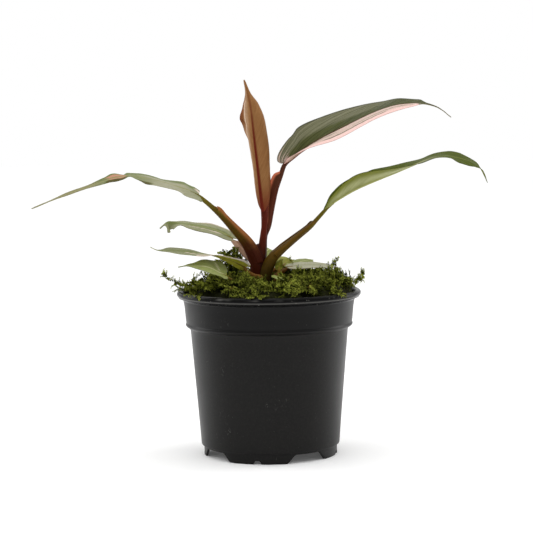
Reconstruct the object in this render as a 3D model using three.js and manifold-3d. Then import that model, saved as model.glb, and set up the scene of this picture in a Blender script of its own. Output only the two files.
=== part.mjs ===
// A young pink princess philodendron in its round nursery pot.
// Millimetres, +Z up, origin at the centre of the pot's underside, +X along the two long leaves.
import * as THREE from 'three';
import { mergeVertices } from 'three/addons/utils/BufferGeometryUtils.js';
import Module from 'manifold-3d';

const wasm = await Module();
wasm.setup();

// ---- driving dimensions ----------------------------------------------------------------------
const FIT = 0.3; // clearance left between pieces that touch

const POT_WALL = 1.2;
const POT_HEIGHT = 96.7;
const LIP_RADIUS = 54;
const LIP_ROLL = 1.9; // radius of the rolled edge
const LIP_DROP = 4.1; // from the top of the lip down to its underside
const LIP_SLANT = 1; // how much lower the underside is where it meets the collar
const SKIRT_BEVEL = 0.3;
const COLLAR_TOP = { r: 49.6, z: 87.4 };
const COLLAR_BOTTOM = { r: 48.6, z: 76.7 };
const WALL_TOP = { r: 46.2, z: 73.6 };
const LEDGE = { r: 40.7, z: 6.5 };
const SKIRT_RADIUS = 39.2;
const FLOOR_UNDERSIDE = 5.8;
const POT_SEGMENTS = 40;

const FOOT_COUNT = 4;
const NOTCH_BEARING = 34; // degrees from the front (-Y) towards +X, to the first notch
const NOTCH_SPAN = 24; // degrees of skirt that each notch takes away
const NOTCH_TOP = 5;
const WEEP_WIDTH = 4; // small slot in the middle of each foot
const WEEP_HEIGHT = 2.2;
const SLOT_CORNER = 1.5; // radius of a notch's upper corners
const SLOT_DEPTH = 6; // the notch cutters reach half of this to each side of the skirt
const SLOT_CORNER_STEPS = 4;
const DRAIN_HOLES = 6;
const DRAIN_RADIUS = 4;
const DRAIN_CIRCLE = 27;
const DRAIN_CUT = 8; // length of the cutter that opens a hole through the floor
const DRAIN_SIDES = 16;

const SOIL_TOP = 92;
const SOIL_EDGE = 1; // rounding of the mix's lower and upper edges
const SOIL_SLACK = 0.4; // how far the mix has shrunk from the wall beyond the clearance
const MOSS_RADIUS = 49.6;
const MOSS_EDGE = POT_HEIGHT + 1; // height of the moss at the pot's lip
const MOSS_CROWN = 103.5; // height of the moss round the stem
const MOSS_LEAN = 1.6; // how much the right edge stands above the mean height
const MOSS_RINGS = 7;
const MOSS_SEGMENTS = 30;

const BLADE_THICKNESS = 0.6;
const SHEATH_THICKNESS = 0.6;
const SHEATH_TIP_LIFT = 0.8; // how far a sheath's free tip stands off its stalk
const SHEATH_GRID = [8, 2];
const TUBE_SIDES = 8;
const STEM_STEPS = 10;
const SPRIG_STEPS = 8;

// ---- finishes --------------------------------------------------------------------------------
const finish = (color, roughness) => new THREE.MeshStandardMaterial({ color, roughness, metalness: 0 });
const finishes = {
  pot: () => finish(0x242423, 0.55),
  soil: () => finish(0x2b2018, 0.95),
  moss: () => finish(0x55611c, 0.9),
  stem: () => finish(0x3c1a12, 0.5),
  stalk: () => finish(0x5a4118, 0.5),
  sheath: () => finish(0x96694a, 0.55),
  darkLeaf: () => finish(0x3c441e, 0.4),
  greenLeaf: () => finish(0x66732f, 0.45),
  paleLeaf: () => finish(0x9aa383, 0.45),
  copperLeaf: () => finish(0x875f3c, 0.45),
};

// ---- solids ----------------------------------------------------------------------------------
const radians = THREE.MathUtils.degToRad;

function solidOf(geometry) {
  const bare = geometry.clone();
  bare.deleteAttribute('normal');
  bare.deleteAttribute('uv');
  const merged = mergeVertices(bare, 1e-4);
  const vertProperties = new Float32Array(merged.attributes.position.array);
  const triVerts = new Uint32Array(merged.index.array);
  return new wasm.Manifold(new wasm.Mesh({ numProp: 3, vertProperties, triVerts }));
}

function geometryOf(solid) {
  const mesh = solid.getMesh();
  const geometry = new THREE.BufferGeometry();
  geometry.setAttribute('position', new THREE.BufferAttribute(mesh.vertProperties, 3));
  geometry.setIndex(new THREE.BufferAttribute(mesh.triVerts, 1));
  geometry.computeVertexNormals();
  return geometry;
}

// Points of a round stretch of a profile, from one angle to another in degrees from the outward side.
function arc(r, z, radius, from, to, steps) {
  return Array.from({ length: steps + 1 }, (_, i) => {
    const angle = radians(from + (to - from) * i / steps);
    return [r + radius * Math.cos(angle), z + radius * Math.sin(angle)];
  });
}

function lathe(profile, segments) {
  const points = profile.map(([r, z]) => new THREE.Vector2(r, z));
  return new THREE.LatheGeometry(points, segments).rotateX(Math.PI / 2);
}

// A closed skin over a grid of points: rings of equal length, joined in order, with both ends capped
// by a fan round the middle of the end ring.
function ringSkin(rings) {
  const count = rings[0].length;
  const positions = rings.flat().flatMap((p) => p.toArray());
  const middle = (ring) => ring.reduce((sum, p) => sum.add(p), new THREE.Vector3()).divideScalar(count);
  positions.push(...middle(rings[0]).toArray(), ...middle(rings.at(-1)).toArray());
  const firstCap = rings.length * count;
  const lastRing = (rings.length - 1) * count;
  const index = [];
  for (let ring = 0; ring < rings.length - 1; ring += 1) {
    for (let side = 0; side < count; side += 1) {
      const a = ring * count + side;
      const b = ring * count + ((side + 1) % count);
      index.push(a, b, b + count, a, b + count, a + count);
    }
  }
  for (let side = 0; side < count; side += 1) {
    const next = (side + 1) % count;
    index.push(firstCap, next, side);
    index.push(firstCap + 1, lastRing + side, lastRing + next);
  }
  const geometry = new THREE.BufferGeometry();
  geometry.setAttribute('position', new THREE.Float32BufferAttribute(positions, 3));
  geometry.setIndex(index);
  geometry.computeVertexNormals();
  return geometry;
}

// ---- a smooth row of numbers -----------------------------------------------------------------
// Stations are rows of numbers that start with x, y, z. Between them every number follows the same
// cubic, with knots spaced by the distance between the stations.
function smoothRows(rows) {
  const distance = (a, b) => Math.hypot(a[0] - b[0], a[1] - b[1], a[2] - b[2]);
  const knots = [0];
  for (let i = 1; i < rows.length; i += 1) knots.push(knots[i - 1] + distance(rows[i], rows[i - 1]));
  const length = knots.at(-1);
  const slope = (i) => {
    const before = Math.max(i - 1, 0);
    const after = Math.min(i + 1, rows.length - 1);
    return rows[i].map((_, k) => (rows[after][k] - rows[before][k]) / (knots[after] - knots[before]));
  };
  const slopes = rows.map((_, i) => slope(i));
  const at = (share) => {
    const s = THREE.MathUtils.clamp(share, 0, 1) * length;
    let i = 0;
    while (i < rows.length - 2 && s > knots[i + 1]) i += 1;
    const h = knots[i + 1] - knots[i];
    const x = (s - knots[i]) / h;
    const start = 2 * x ** 3 - 3 * x ** 2 + 1;
    const startSlope = (x ** 3 - 2 * x ** 2 + x) * h;
    const end = 3 * x ** 2 - 2 * x ** 3;
    const endSlope = (x ** 3 - x ** 2) * h;
    return rows[i].map((value, k) => start * value + startSlope * slopes[i][k]
      + end * rows[i + 1][k] + endSlope * slopes[i + 1][k]);
  };
  return { at, length };
}

// The moving frame of a curve: along it, its right-hand side and its upper face, banked by roll.
function frameAt(curve, share, roll, up) {
  const step = 1e-3;
  const middle = THREE.MathUtils.clamp(share, step, 1 - step);
  const ahead = new THREE.Vector3(...curve.at(middle + step));
  const along = ahead.sub(new THREE.Vector3(...curve.at(middle - step))).normalize();
  const face = up.clone().addScaledVector(along, -up.dot(along)).normalize();
  const side = new THREE.Vector3().crossVectors(along, face);
  const turn = radians(roll);
  const right = side.clone().multiplyScalar(Math.cos(turn)).addScaledVector(face, -Math.sin(turn));
  const upper = face.clone().multiplyScalar(Math.cos(turn)).addScaledVector(side, Math.sin(turn));
  return { along, right, upper };
}

// ---- stalks ----------------------------------------------------------------------------------
// Stations are [x, y, z, radius]. The extra makes the tube fatter, and as much longer at both ends.
function stalk(stations, steps, extra = 0) {
  const curve = smoothRows(stations);
  const up = new THREE.Vector3(0, 0.6, 1).normalize();
  const rings = [];
  for (let i = 0; i <= steps; i += 1) {
    const [x, y, z, radius] = curve.at(i / steps);
    const { along, right, upper } = frameAt(curve, i / steps, 0, up);
    const past = extra * (Number(i === steps) - Number(i === 0));
    const ring = [];
    for (let side = 0; side < TUBE_SIDES; side += 1) {
      const angle = -2 * Math.PI * side / TUBE_SIDES;
      ring.push(new THREE.Vector3(x, y, z)
        .addScaledVector(along, past)
        .addScaledVector(right, Math.cos(angle) * (radius + extra))
        .addScaledVector(upper, Math.sin(angle) * (radius + extra)));
    }
    rings.push(ring);
  }
  return ringSkin(rings);
}

// ---- leaf blades -----------------------------------------------------------------------------
// A blade is a flat heart-shaped outline laid along a curved midrib. Side veins leave the midrib
// backwards at the base, which makes the two lobes, and swing forwards towards the tip. VEIN_REACH
// gives their length as shares of the half width. Across the midrib each half first folds up by its
// fold angle and then bends by its curl and flare angles on the way to the margin.
const VEIN_REACH = [[0, 0.42], [0.05, 0.7], [0.12, 0.92], [0.25, 1.12], [0.4, 1.15], [0.55, 1.05],
  [0.7, 0.8], [0.82, 0.45], [0.92, 0.12], [1, 0.03]];
const VEIN_SWING = 0.12; // share of the length over which the veins swing forwards
const VEIN_BACK = 150; // degrees from the midrib at the base
const VEIN_FORWARD = 58; // degrees from the midrib at the tip
const SECTION_STEPS = 12;

function reachAt(table, u) {
  let i = 0;
  while (i < table.length - 2 && u > table[i + 1][0]) i += 1;
  const [u0, r0] = table[i];
  const [u1, r1] = table[i + 1];
  return r0 + (r1 - r0) * (u - u0) / (u1 - u0);
}

function bladeSurface(leaf) {
  const list = (value) => leaf.midrib.map((_, i) => (Array.isArray(value) ? value[i] : value));
  const columns = [leaf.roll ?? 0, leaf.foldLeft ?? leaf.fold ?? 0, leaf.foldRight ?? leaf.fold ?? 0,
    leaf.curlLeft ?? leaf.curl ?? 0, leaf.curlRight ?? leaf.curl ?? 0, leaf.flareRight ?? 0].map(list);
  const curve = smoothRows(leaf.midrib.map((point, i) => [...point, ...columns.map((c) => c[i])]));
  const up = new THREE.Vector3(...(leaf.up ?? [0, 0, 1]));
  const [back, forward] = leaf.veins ?? [VEIN_BACK, VEIN_FORWARD];
  return (u, v) => {
    const out = Math.abs(v);
    const veinAngle = radians(forward + (back - forward) * Math.exp(-u / VEIN_SWING));
    const vein = leaf.halfWidth * reachAt(leaf.reach ?? VEIN_REACH, u) * out;
    const along = u * curve.length + vein * Math.cos(veinAngle);
    const across = vein * Math.sin(veinAngle);
    const row = curve.at(along / curve.length);
    const frame = frameAt(curve, along / curve.length, row[3], up);
    const past = Math.min(along, 0) + Math.max(along - curve.length, 0);
    const fold = radians(v < 0 ? row[4] : row[5]);
    const curl = radians(v < 0 ? row[6] : row[7]);
    const flare = radians(v < 0 ? 0 : row[8]);
    const angleAt = (x) => fold + curl * x + flare * x ** 3;
    let sideways = 0;
    let rise = 0;
    for (let step = 0; step < SECTION_STEPS; step += 1) {
      const angle = angleAt(out * (step + 0.5) / SECTION_STEPS);
      sideways += Math.cos(angle) * across / SECTION_STEPS;
      rise += Math.sin(angle) * across / SECTION_STEPS;
    }
    const sign = Math.sign(v);
    const lean = out < 1e-6 ? 0 : angleAt(out);
    const normal = frame.upper.clone().multiplyScalar(Math.cos(lean))
      .addScaledVector(frame.right, -Math.sin(lean) * sign);
    const point = new THREE.Vector3(row[0], row[1], row[2])
      .addScaledVector(frame.along, past)
      .addScaledVector(frame.right, sideways * sign)
      .addScaledVector(frame.upper, rise);
    return { point, normal };
  };
}

// Upper and lower faces of the grid, joined round the margin: each ring runs out over the upper face
// and back under the lower one.
function sheet(surface, lengthSteps, halfSteps, thickness) {
  const rings = [];
  for (let i = 0; i <= lengthSteps; i += 1) {
    const over = [];
    const under = [];
    for (let j = -halfSteps; j <= halfSteps; j += 1) {
      const { point, normal } = surface(i / lengthSteps, j / halfSteps);
      over.push(point.clone().addScaledVector(normal, thickness / 2));
      under.push(point.clone().addScaledVector(normal, -thickness / 2));
    }
    rings.push([...over.reverse(), ...under]);
  }
  return stripSkin(rings, halfSteps * 2 + 1);
}

// Like ringSkin, but the two ends are closed by a strip between the upper and lower halves of the
// ring, so that an end that isn't convex stays true.
function stripSkin(rings, half) {
  const count = rings[0].length;
  const positions = rings.flat().flatMap((p) => p.toArray());
  const index = [];
  for (let ring = 0; ring < rings.length - 1; ring += 1) {
    for (let side = 0; side < count; side += 1) {
      const a = ring * count + side;
      const b = ring * count + ((side + 1) % count);
      index.push(a, b + count, b, a, a + count, b + count);
    }
  }
  const last = (rings.length - 1) * count;
  for (let k = 0; k < half - 1; k += 1) {
    const a = k;
    const b = k + 1;
    const c = count - 2 - k;
    const d = count - 1 - k;
    index.push(a, b, c, a, c, d);
    index.push(last + a, last + c, last + b, last + a, last + d, last + c);
  }
  const geometry = new THREE.BufferGeometry();
  geometry.setAttribute('position', new THREE.Float32BufferAttribute(positions, 3));
  geometry.setIndex(index);
  geometry.computeVertexNormals();
  return geometry;
}

// ---- the leaves ------------------------------------------------------------------------------
// Each leaf: its stalk's stations, its blade, and the share of the stalk that its sheath wraps.
const LEAVES = {
  left: {
    stalk: [[-5, -1, 109, 3.4], [-9, -3, 117, 3.1], [-13.5, -5, 125, 2.7], [-20, -8, 133, 2.3],
      [-26.5, -11, 140.5, 1.8], [-33, -14, 147, 1.3], [-38.6, -15.8, 151.9, 1.1]],
    sheath: { from: 0.2, to: 0.72, halfWidth: 2.6, fold: 48 },
    blade: {
      finish: 'paleLeaf',
      midrib: [[-39.5, -16, 153], [-44.5, -18, 156], [-51.5, -20, 158.5], [-58.5, -23, 161],
        [-67, -26, 163.5], [-73, -28, 164.5], [-77.5, -30, 165.5], [-80, -31, 165.5],
        [-83, -32, 165], [-87.5, -33, 164.5], [-92, -34, 163], [-99, -36, 160.5],
        [-108.5, -38, 157.5], [-118, -39, 154], [-133, -40, 148]],
      roll: [-12, -11, -10, -9, -9, -8, -6, -3, -3, -3, -2, -1, 0, 0, 0],
      foldLeft: [0, 0, 0, 0, 0, 0, 0, -3, -18, -24, -14, -2, 0, 0, 0],
      halfWidth: 17,
      reach: [[0, 0.2], [0.04, 0.45], [0.12, 0.8], [0.25, 1.05], [0.36, 1.1], [0.45, 0.95],
        [0.55, 0.66], [0.7, 0.38], [0.85, 0.17], [1, 0.03]],
    },
  },
  new: {
    stalk: [[-4, -1, 110, 3.4], [-3.6, -0.5, 124, 3.2], [-3, 0.3, 136, 3.2], [-3.2, 0.6, 147, 3.1]],
    blade: {
      finish: 'copperLeaf',
      midrib: [[-3, -4, 142.5], [-4, -4, 152.5], [-5, -4, 167], [-6, -3, 178.5], [-7, -2, 190],
        [-8, -1, 199], [-9.5, 1, 206.5], [-11, 3, 213], [-13, 5, 219]],
      up: [0, 1, 0],
      roll: [-20, -20, -20, -20, -18, -15, -10, -5, 0],
      fold: 5,
      curlLeft: [165, 165, 165, 160, 155, 150, 140, 100, 40],
      curlRight: [150, 150, 150, 150, 150, 150, 130, 100, 40],
      flareRight: [0, 0, 0, -40, -120, -150, -80, 0, 0],
      halfWidth: 17,
      veins: [95, 40],
      reach: [[0, 0.8], [0.15, 0.95], [0.3, 1.05], [0.45, 1.1], [0.6, 1.05], [0.7, 0.9],
        [0.78, 0.6], [0.86, 0.3], [0.93, 0.12], [1, 0.03]],
    },
  },
  half_moon: {
    stalk: [[-2, 3, 108, 2.3], [-0.5, 4.5, 120, 2.2], [1, 4.2, 130, 2], [2.5, 3.6, 138, 1.9],
      [4.8, 2.5, 147, 1.7], [7, 0.5, 155, 1.6], [9, -1, 162.5, 1.5], [10.6, -1.9, 169.6, 1.3]],
    sheath: { from: 0.42, to: 0.98, halfWidth: 2.6, fold: 40 },
    blade: {
      finish: 'darkLeaf',
      midrib: [[11, -2, 171], [14.5, -4, 173.5], [19.5, -7, 177.5], [30.5, -12, 184.5],
        [45, -18, 192], [60.5, -25, 199.5], [72.5, -30, 203.5], [82, -33, 204.5],
        [88.5, -35, 204.5], [96.5, -37, 202], [103.5, -39, 196.5]],
      roll: [31, 31, 31, 27, 25, 20, 17, 15, 12, 10, 8],
      fold: [22, 22, 21, 13, 5, 0, 0, 0, 0, 0, 0],
      halfWidth: 22,
      reach: [[0, 0.25], [0.04, 0.55], [0.12, 0.92], [0.25, 1.12], [0.4, 1.12], [0.55, 0.96],
        [0.7, 0.58], [0.78, 0.32], [0.84, 0.12], [0.92, 0.05], [1, 0.02]],
    },
  },
  right: {
    stalk: [[-3, -3, 106, 3.6], [2, -2.5, 115.5, 3.2], [7, 0, 119.5, 2.7], [13, 3.5, 124, 2.2],
      [19, 7, 128.5, 1.9], [25, 10, 133, 1.6], [29.5, 13, 137.5, 1.3], [34.2, 14.8, 142.4, 1.1]],
    sheath: { from: 0.3, to: 0.78, halfWidth: 2, fold: 50 },
    blade: {
      finish: 'greenLeaf',
      midrib: [[35, 15, 143.5], [39, 16, 146.5], [45, 18, 150], [51.5, 20, 153.5], [59.5, 22, 157],
        [68.5, 24, 160.5], [78, 27, 164], [88, 29, 168], [98.5, 31, 172], [107, 33, 173],
        [113.5, 34, 172], [119, 35, 170.5], [125, 36, 168], [129.5, 36, 164], [133, 37, 156.5]],
      roll: [0, 0, 0, 0, 0, 0, 0, 2, 4, 8, 14, 16, 12, 5, 5],
      foldLeft: [10, 16, 20, 18, 12, 8, 4, 2, 0, 0, 0, 0, 0, 0, 0],
      foldRight: [40, 42, 42, 38, 30, 20, 12, 5, 0, 0, 0, 0, 0, 0, 0],
      halfWidth: 18,
      reach: [[0, 0.12], [0.04, 0.32], [0.12, 0.72], [0.2, 1], [0.4, 1.1], [0.55, 1.05],
        [0.7, 0.95], [0.78, 0.8], [0.83, 0.62], [0.89, 0.38], [0.94, 0.1], [1, 0.03]],
    },
  },
  upper_left: {
    stalk: [[-5, 3, 106, 2], [-9.5, 8, 112.5, 1.8], [-14.5, 12, 117, 1.5], [-18.5, 16, 121, 1.2],
      [-21.6, 19.6, 124.8, 1]],
    sheath: { from: 0.3, to: 0.8, halfWidth: 1.8, fold: 40 },
    blade: {
      finish: 'paleLeaf',
      midrib: [[-22, 20, 126], [-27.5, 23, 129], [-36, 27, 131.5], [-45, 31, 133], [-52, 34, 134],
        [-57.5, 36, 135], [-61, 37, 135], [-65.5, 38, 131]],
      roll: [-12, -12, -11, -10, -8, 0, 0, 0],
      foldLeft: [0, 0, 0, 0, 0, -60, -40, 0],
      halfWidth: 8,
      reach: [[0, 0.42], [0.05, 0.7], [0.12, 0.92], [0.25, 1.12], [0.4, 1.15], [0.55, 1],
        [0.7, 0.8], [0.8, 0.85], [0.87, 0.6], [0.93, 0.12], [1, 0.05]],
    },
  },
  mid_left: {
    stalk: [[-4, -3, 102, 1.9], [-5, -9, 104.5, 1.7], [-8.5, -13, 106, 1.4], [-12, -15.3, 108.5, 1.1],
      [-13.6, -15.9, 110.7, 0.9]],
    blade: {
      finish: 'paleLeaf',
      midrib: [[-14, -16, 112], [-18.5, -18, 114.5], [-24.5, -21, 117], [-30.5, -24, 119],
        [-39, -28, 120.5], [-47.5, -32, 122], [-55.5, -36, 123], [-62.5, -39, 123.5],
        [-66.5, -41, 125.5]],
      roll: [11, 11, 7, 0, -9, -11, -10, -5, 0],
      halfWidth: 10,
    },
  },
  lower_left: {
    stalk: [[-6, -5, 98, 1.6], [-14, -14, 101.5, 1.3], [-20, -21, 104, 1.1], [-24, -24.6, 106.2, 0.9]],
    blade: {
      finish: 'greenLeaf',
      midrib: [[-24.5, -25, 107.4], [-28.5, -27, 109.5], [-32.5, -30, 112], [-36.5, -33, 113.5],
        [-41.5, -36, 114], [-46.5, -39, 114.5], [-51, -41, 114]],
      roll: -24,
      halfWidth: 10,
      reach: [[0, 0.4], [0.1, 0.85], [0.25, 1.05], [0.4, 1.05], [0.55, 0.85], [0.7, 0.58],
        [0.82, 0.33], [0.92, 0.12], [1, 0.05]],
    },
  },
  low_right: {
    stalk: [[-1, 1, 99, 1.6], [5, 1.5, 104.5, 1.3], [9, 1.8, 107.5, 1.1], [11.9, 2, 108.9, 0.9]],
    blade: {
      finish: 'paleLeaf',
      midrib: [[12.5, 2, 109.8], [18.5, 4, 110.3], [26.5, 7, 110.3], [33.5, 10, 109.8],
        [41, 12, 108.3]],
      roll: 13,
      halfWidth: 6.5,
    },
  },
  back_right: {
    stalk: [[-1, 4, 100, 1.5], [7, 8, 106.5, 1.2], [12, 11.5, 108.6, 1], [16.4, 14.6, 109.8, 0.8]],
    blade: {
      finish: 'greenLeaf',
      midrib: [[17, 15, 110.9], [20, 19, 111.6], [23, 23, 112], [27, 27, 112.3]],
      roll: 20,
      halfWidth: 4.5,
    },
  },
  dark_rimmed: {
    stalk: [[-3, 5, 102, 1.6], [1, 9, 106, 1.3], [5, 11.5, 108, 1.1], [8.4, 13.4, 108.7, 0.9]],
    blade: {
      finish: 'greenLeaf',
      midrib: [[9, 14, 110], [11, 20, 111.8], [14, 26, 112.2], [17.5, 31, 111.2]],
      roll: 20,
      halfWidth: 8,
    },
  },
  curled: {
    stalk: [[1, -3, 101, 1.6], [4.5, -4.5, 105, 1.5], [6.5, -4, 108, 1.3], [7.3, -3.5, 110.4, 1]],
    blade: {
      finish: 'greenLeaf',
      midrib: [[7.5, -3.4, 111.4], [8.2, -3, 113.6], [9.6, -2.4, 115.2], [11.5, -1.5, 115.6]],
      roll: -30,
      curl: 70,
      halfWidth: 4,
    },
  },
  front: {
    stalk: [[2, -6, 98, 1.4], [8, -14, 100, 1.2], [10, -19, 101.4, 1], [10.2, -21.4, 102.6, 0.8]],
    blade: {
      finish: 'greenLeaf',
      midrib: [[10, -22, 103.8], [6.5, -24, 105.2], [3.5, -26, 106], [1, -28, 107]],
      roll: -30,
      halfWidth: 4.5,
    },
  },
  behind: {
    stalk: [[-3.6, 6.8, 104, 1.5], [-4.2, 8.8, 109, 1.3], [-4.4, 9.8, 112.9, 1]],
    blade: {
      finish: 'greenLeaf',
      midrib: [[-4, 10.4, 114.2], [-1.5, 18, 117.5], [1, 25, 118.5], [2, 32, 115.5]],
      roll: 25,
      halfWidth: 5,
    },
  },
};

const STEM = [[-4, 0, 62, 6], [-4, 0, 84, 5.6], [-4, 0, 104, 5.2], [-4.2, -0.4, 113, 4.8],
  [-4.4, -0.6, 119, 4.2]];
const MOSS_SPRIGS = {
  moss_sprig_left: [[-40, -1, 99.5, 1], [-49, -2, 100, 0.9], [-56, -3.5, 102, 0.8],
    [-61.5, -6, 107, 0.5]],
  moss_sprig_right: [[43, 2, 101, 1], [49, 0, 100.2, 0.9], [53, -3, 102.5, 0.8],
    [55.5, -6, 106, 0.5]],
};
const MOSS_TUFTS = [
  { centre: [-22, 17, 107], size: [9, 7, 13] },
  { centre: [30, 16, 103], size: [14, 12, 5] },
];

// ---- sub-parts -------------------------------------------------------------------------------
function potSolid() {
  const inner = (point) => [point.r - POT_WALL, point.z + POT_WALL / 2];
  const floorTop = FLOOR_UNDERSIDE + POT_WALL;
  const body = solidOf(lathe([
    [0, FLOOR_UNDERSIDE],
    [SKIRT_RADIUS - POT_WALL, FLOOR_UNDERSIDE],
    [SKIRT_RADIUS - POT_WALL, 0],
    [SKIRT_RADIUS - SKIRT_BEVEL, 0],
    [SKIRT_RADIUS, SKIRT_BEVEL],
    [SKIRT_RADIUS, LEDGE.z],
    [LEDGE.r, LEDGE.z + SKIRT_BEVEL],
    [WALL_TOP.r, WALL_TOP.z],
    [COLLAR_BOTTOM.r, COLLAR_BOTTOM.z],
    [COLLAR_TOP.r, COLLAR_TOP.z],
    [LIP_RADIUS - 2 * LIP_ROLL, POT_HEIGHT - LIP_DROP - LIP_SLANT],
    [LIP_RADIUS - LIP_ROLL / 2, POT_HEIGHT - LIP_DROP],
    ...arc(LIP_RADIUS - LIP_ROLL, POT_HEIGHT - LIP_ROLL, LIP_ROLL, -20, 160, 5),
    inner(COLLAR_TOP),
    inner(COLLAR_BOTTOM),
    inner(WALL_TOP),
    [LEDGE.r - POT_WALL, floorTop + POT_WALL],
    [LEDGE.r - 2 * POT_WALL, floorTop],
    [0, floorTop],
  ], POT_SEGMENTS));
  let pot = body;
  for (let foot = 0; foot < FOOT_COUNT; foot += 1) {
    const bearing = NOTCH_BEARING + foot * 360 / FOOT_COUNT;
    pot = pot.subtract(skirtSlot(bearing, 2 * SKIRT_RADIUS * Math.sin(radians(NOTCH_SPAN / 2)), NOTCH_TOP));
    pot = pot.subtract(skirtSlot(bearing + 180 / FOOT_COUNT, WEEP_WIDTH, WEEP_HEIGHT));
  }
  for (let hole = 0; hole < DRAIN_HOLES; hole += 1) {
    const angle = 2 * Math.PI * hole / DRAIN_HOLES;
    const drill = new THREE.CylinderGeometry(DRAIN_RADIUS, DRAIN_RADIUS, DRAIN_CUT, DRAIN_SIDES);
    drill.rotateX(Math.PI / 2);
    drill.translate(DRAIN_CIRCLE * Math.cos(angle), DRAIN_CIRCLE * Math.sin(angle), FLOOR_UNDERSIDE);
    pot = pot.subtract(solidOf(drill));
  }
  return pot;
}

// A cutter with rounded top corners, across the skirt at a bearing from the front.
function skirtSlot(bearing, width, height) {
  const corner = Math.min(SLOT_CORNER, height / 2);
  const outline = new THREE.Shape();
  outline.moveTo(-width / 2, -SLOT_CORNER);
  outline.lineTo(width / 2, -SLOT_CORNER);
  outline.lineTo(width / 2, height - corner);
  outline.absarc(width / 2 - corner, height - corner, corner, 0, Math.PI / 2);
  outline.lineTo(-width / 2 + corner, height);
  outline.absarc(-width / 2 + corner, height - corner, corner, Math.PI / 2, Math.PI);
  const cut = { depth: SLOT_DEPTH, bevelEnabled: false, curveSegments: SLOT_CORNER_STEPS };
  const cutter = new THREE.ExtrudeGeometry(outline, cut);
  cutter.rotateX(Math.PI / 2);
  cutter.translate(0, SLOT_DEPTH / 2 - SKIRT_RADIUS, 0);
  cutter.rotateZ(radians(bearing));
  return solidOf(cutter);
}

// The mix fills the pot to a little under the lip, a gap away from the wall all round.
function soilSolid() {
  const gap = POT_WALL + FIT;
  const bottom = FLOOR_UNDERSIDE + gap;
  return solidOf(lathe([
    [0, bottom],
    [LEDGE.r - 2 * gap, bottom],
    [LEDGE.r - gap - SOIL_SLACK / 2, bottom + SOIL_EDGE],
    [WALL_TOP.r - gap, WALL_TOP.z],
    [WALL_TOP.r - gap, WALL_TOP.z + 2 * SOIL_EDGE],
    [COLLAR_TOP.r - gap - 2 * SOIL_SLACK, COLLAR_TOP.z],
    [COLLAR_TOP.r - gap - SOIL_SLACK, SOIL_TOP - SOIL_EDGE],
    [COLLAR_TOP.r - 5 * SOIL_EDGE, SOIL_TOP],
    [0, SOIL_TOP],
  ], POT_SEGMENTS));
}

// Height of the moss's lumps above its mean, in mm: two crossed waves, 16 to 23 mm apart.
function ripple(x, y) {
  return Math.sin(x * 0.31 + 1.3) * Math.cos(y * 0.27) + 0.6 * Math.sin(x * 0.13 - y * 0.37);
}

// The mat is a low mound: a flat underside on the potting mix, a rounded edge inside the pot's lip
// and an uneven top, a little higher at the right.
function mossSolid() {
  const under = SOIL_TOP + FIT;
  const profile = [[0, under], [MOSS_RADIUS - 2, under], [MOSS_RADIUS, under + 2.5]];
  for (let ring = 1; ring <= MOSS_RINGS; ring += 1) {
    const share = 1 - ring / MOSS_RINGS;
    const height = MOSS_EDGE + (MOSS_CROWN - MOSS_EDGE) * (1 - share ** 4);
    profile.push([(MOSS_RADIUS - 0.4) * share, height]);
  }
  const mound = lathe(profile, MOSS_SEGMENTS);
  const position = mound.attributes.position;
  for (let i = 0; i < position.count; i += 1) {
    const [x, y, z] = [position.getX(i), position.getY(i), position.getZ(i)];
    const free = THREE.MathUtils.smoothstep(z, POT_HEIGHT, POT_HEIGHT + 3);
    const side = THREE.MathUtils.clamp(x / MOSS_RADIUS, -1, 1);
    position.setZ(i, z + free * (ripple(x, y) + MOSS_LEAN * side));
  }
  let mat = solidOf(mound);
  for (const { centre, size } of MOSS_TUFTS) {
    const tuft = new THREE.IcosahedronGeometry(1, 1).scale(...size);
    mat = mat.add(solidOf(tuft.translate(...centre)));
  }
  return mat;
}

// A sheath is a narrow gutter that lies on the upper side of its stalk, open away from it.
function sheathSurface(stalkRows, sheath) {
  const curve = smoothRows(stalkRows);
  const up = new THREE.Vector3(0, 0, 1);
  const count = 7;
  const midrib = [];
  for (let i = 0; i < count; i += 1) {
    const share = sheath.from + (sheath.to - sheath.from) * i / (count - 1);
    const [x, y, z, radius] = curve.at(share);
    const { upper } = frameAt(curve, share, 0, up);
    const lift = radius + FIT + SHEATH_THICKNESS / 2 + (i === count - 1 ? SHEATH_TIP_LIFT : 0);
    midrib.push(new THREE.Vector3(x, y, z).addScaledVector(upper, lift).toArray());
  }
  const reach = [[0, 1.1], [0.3, 1.15], [0.6, 1.05], [0.85, 0.85], [0.95, 0.5], [1, 0.15]];
  return bladeSurface({ midrib, halfWidth: sheath.halfWidth, fold: sheath.fold, reach, veins: [90, 70] });
}

const BLADE_GRID = { long: [20, 4], short: [9, 3] };
const LONG_BLADE = 80; // a midrib longer than this gets the finer grid

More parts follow.
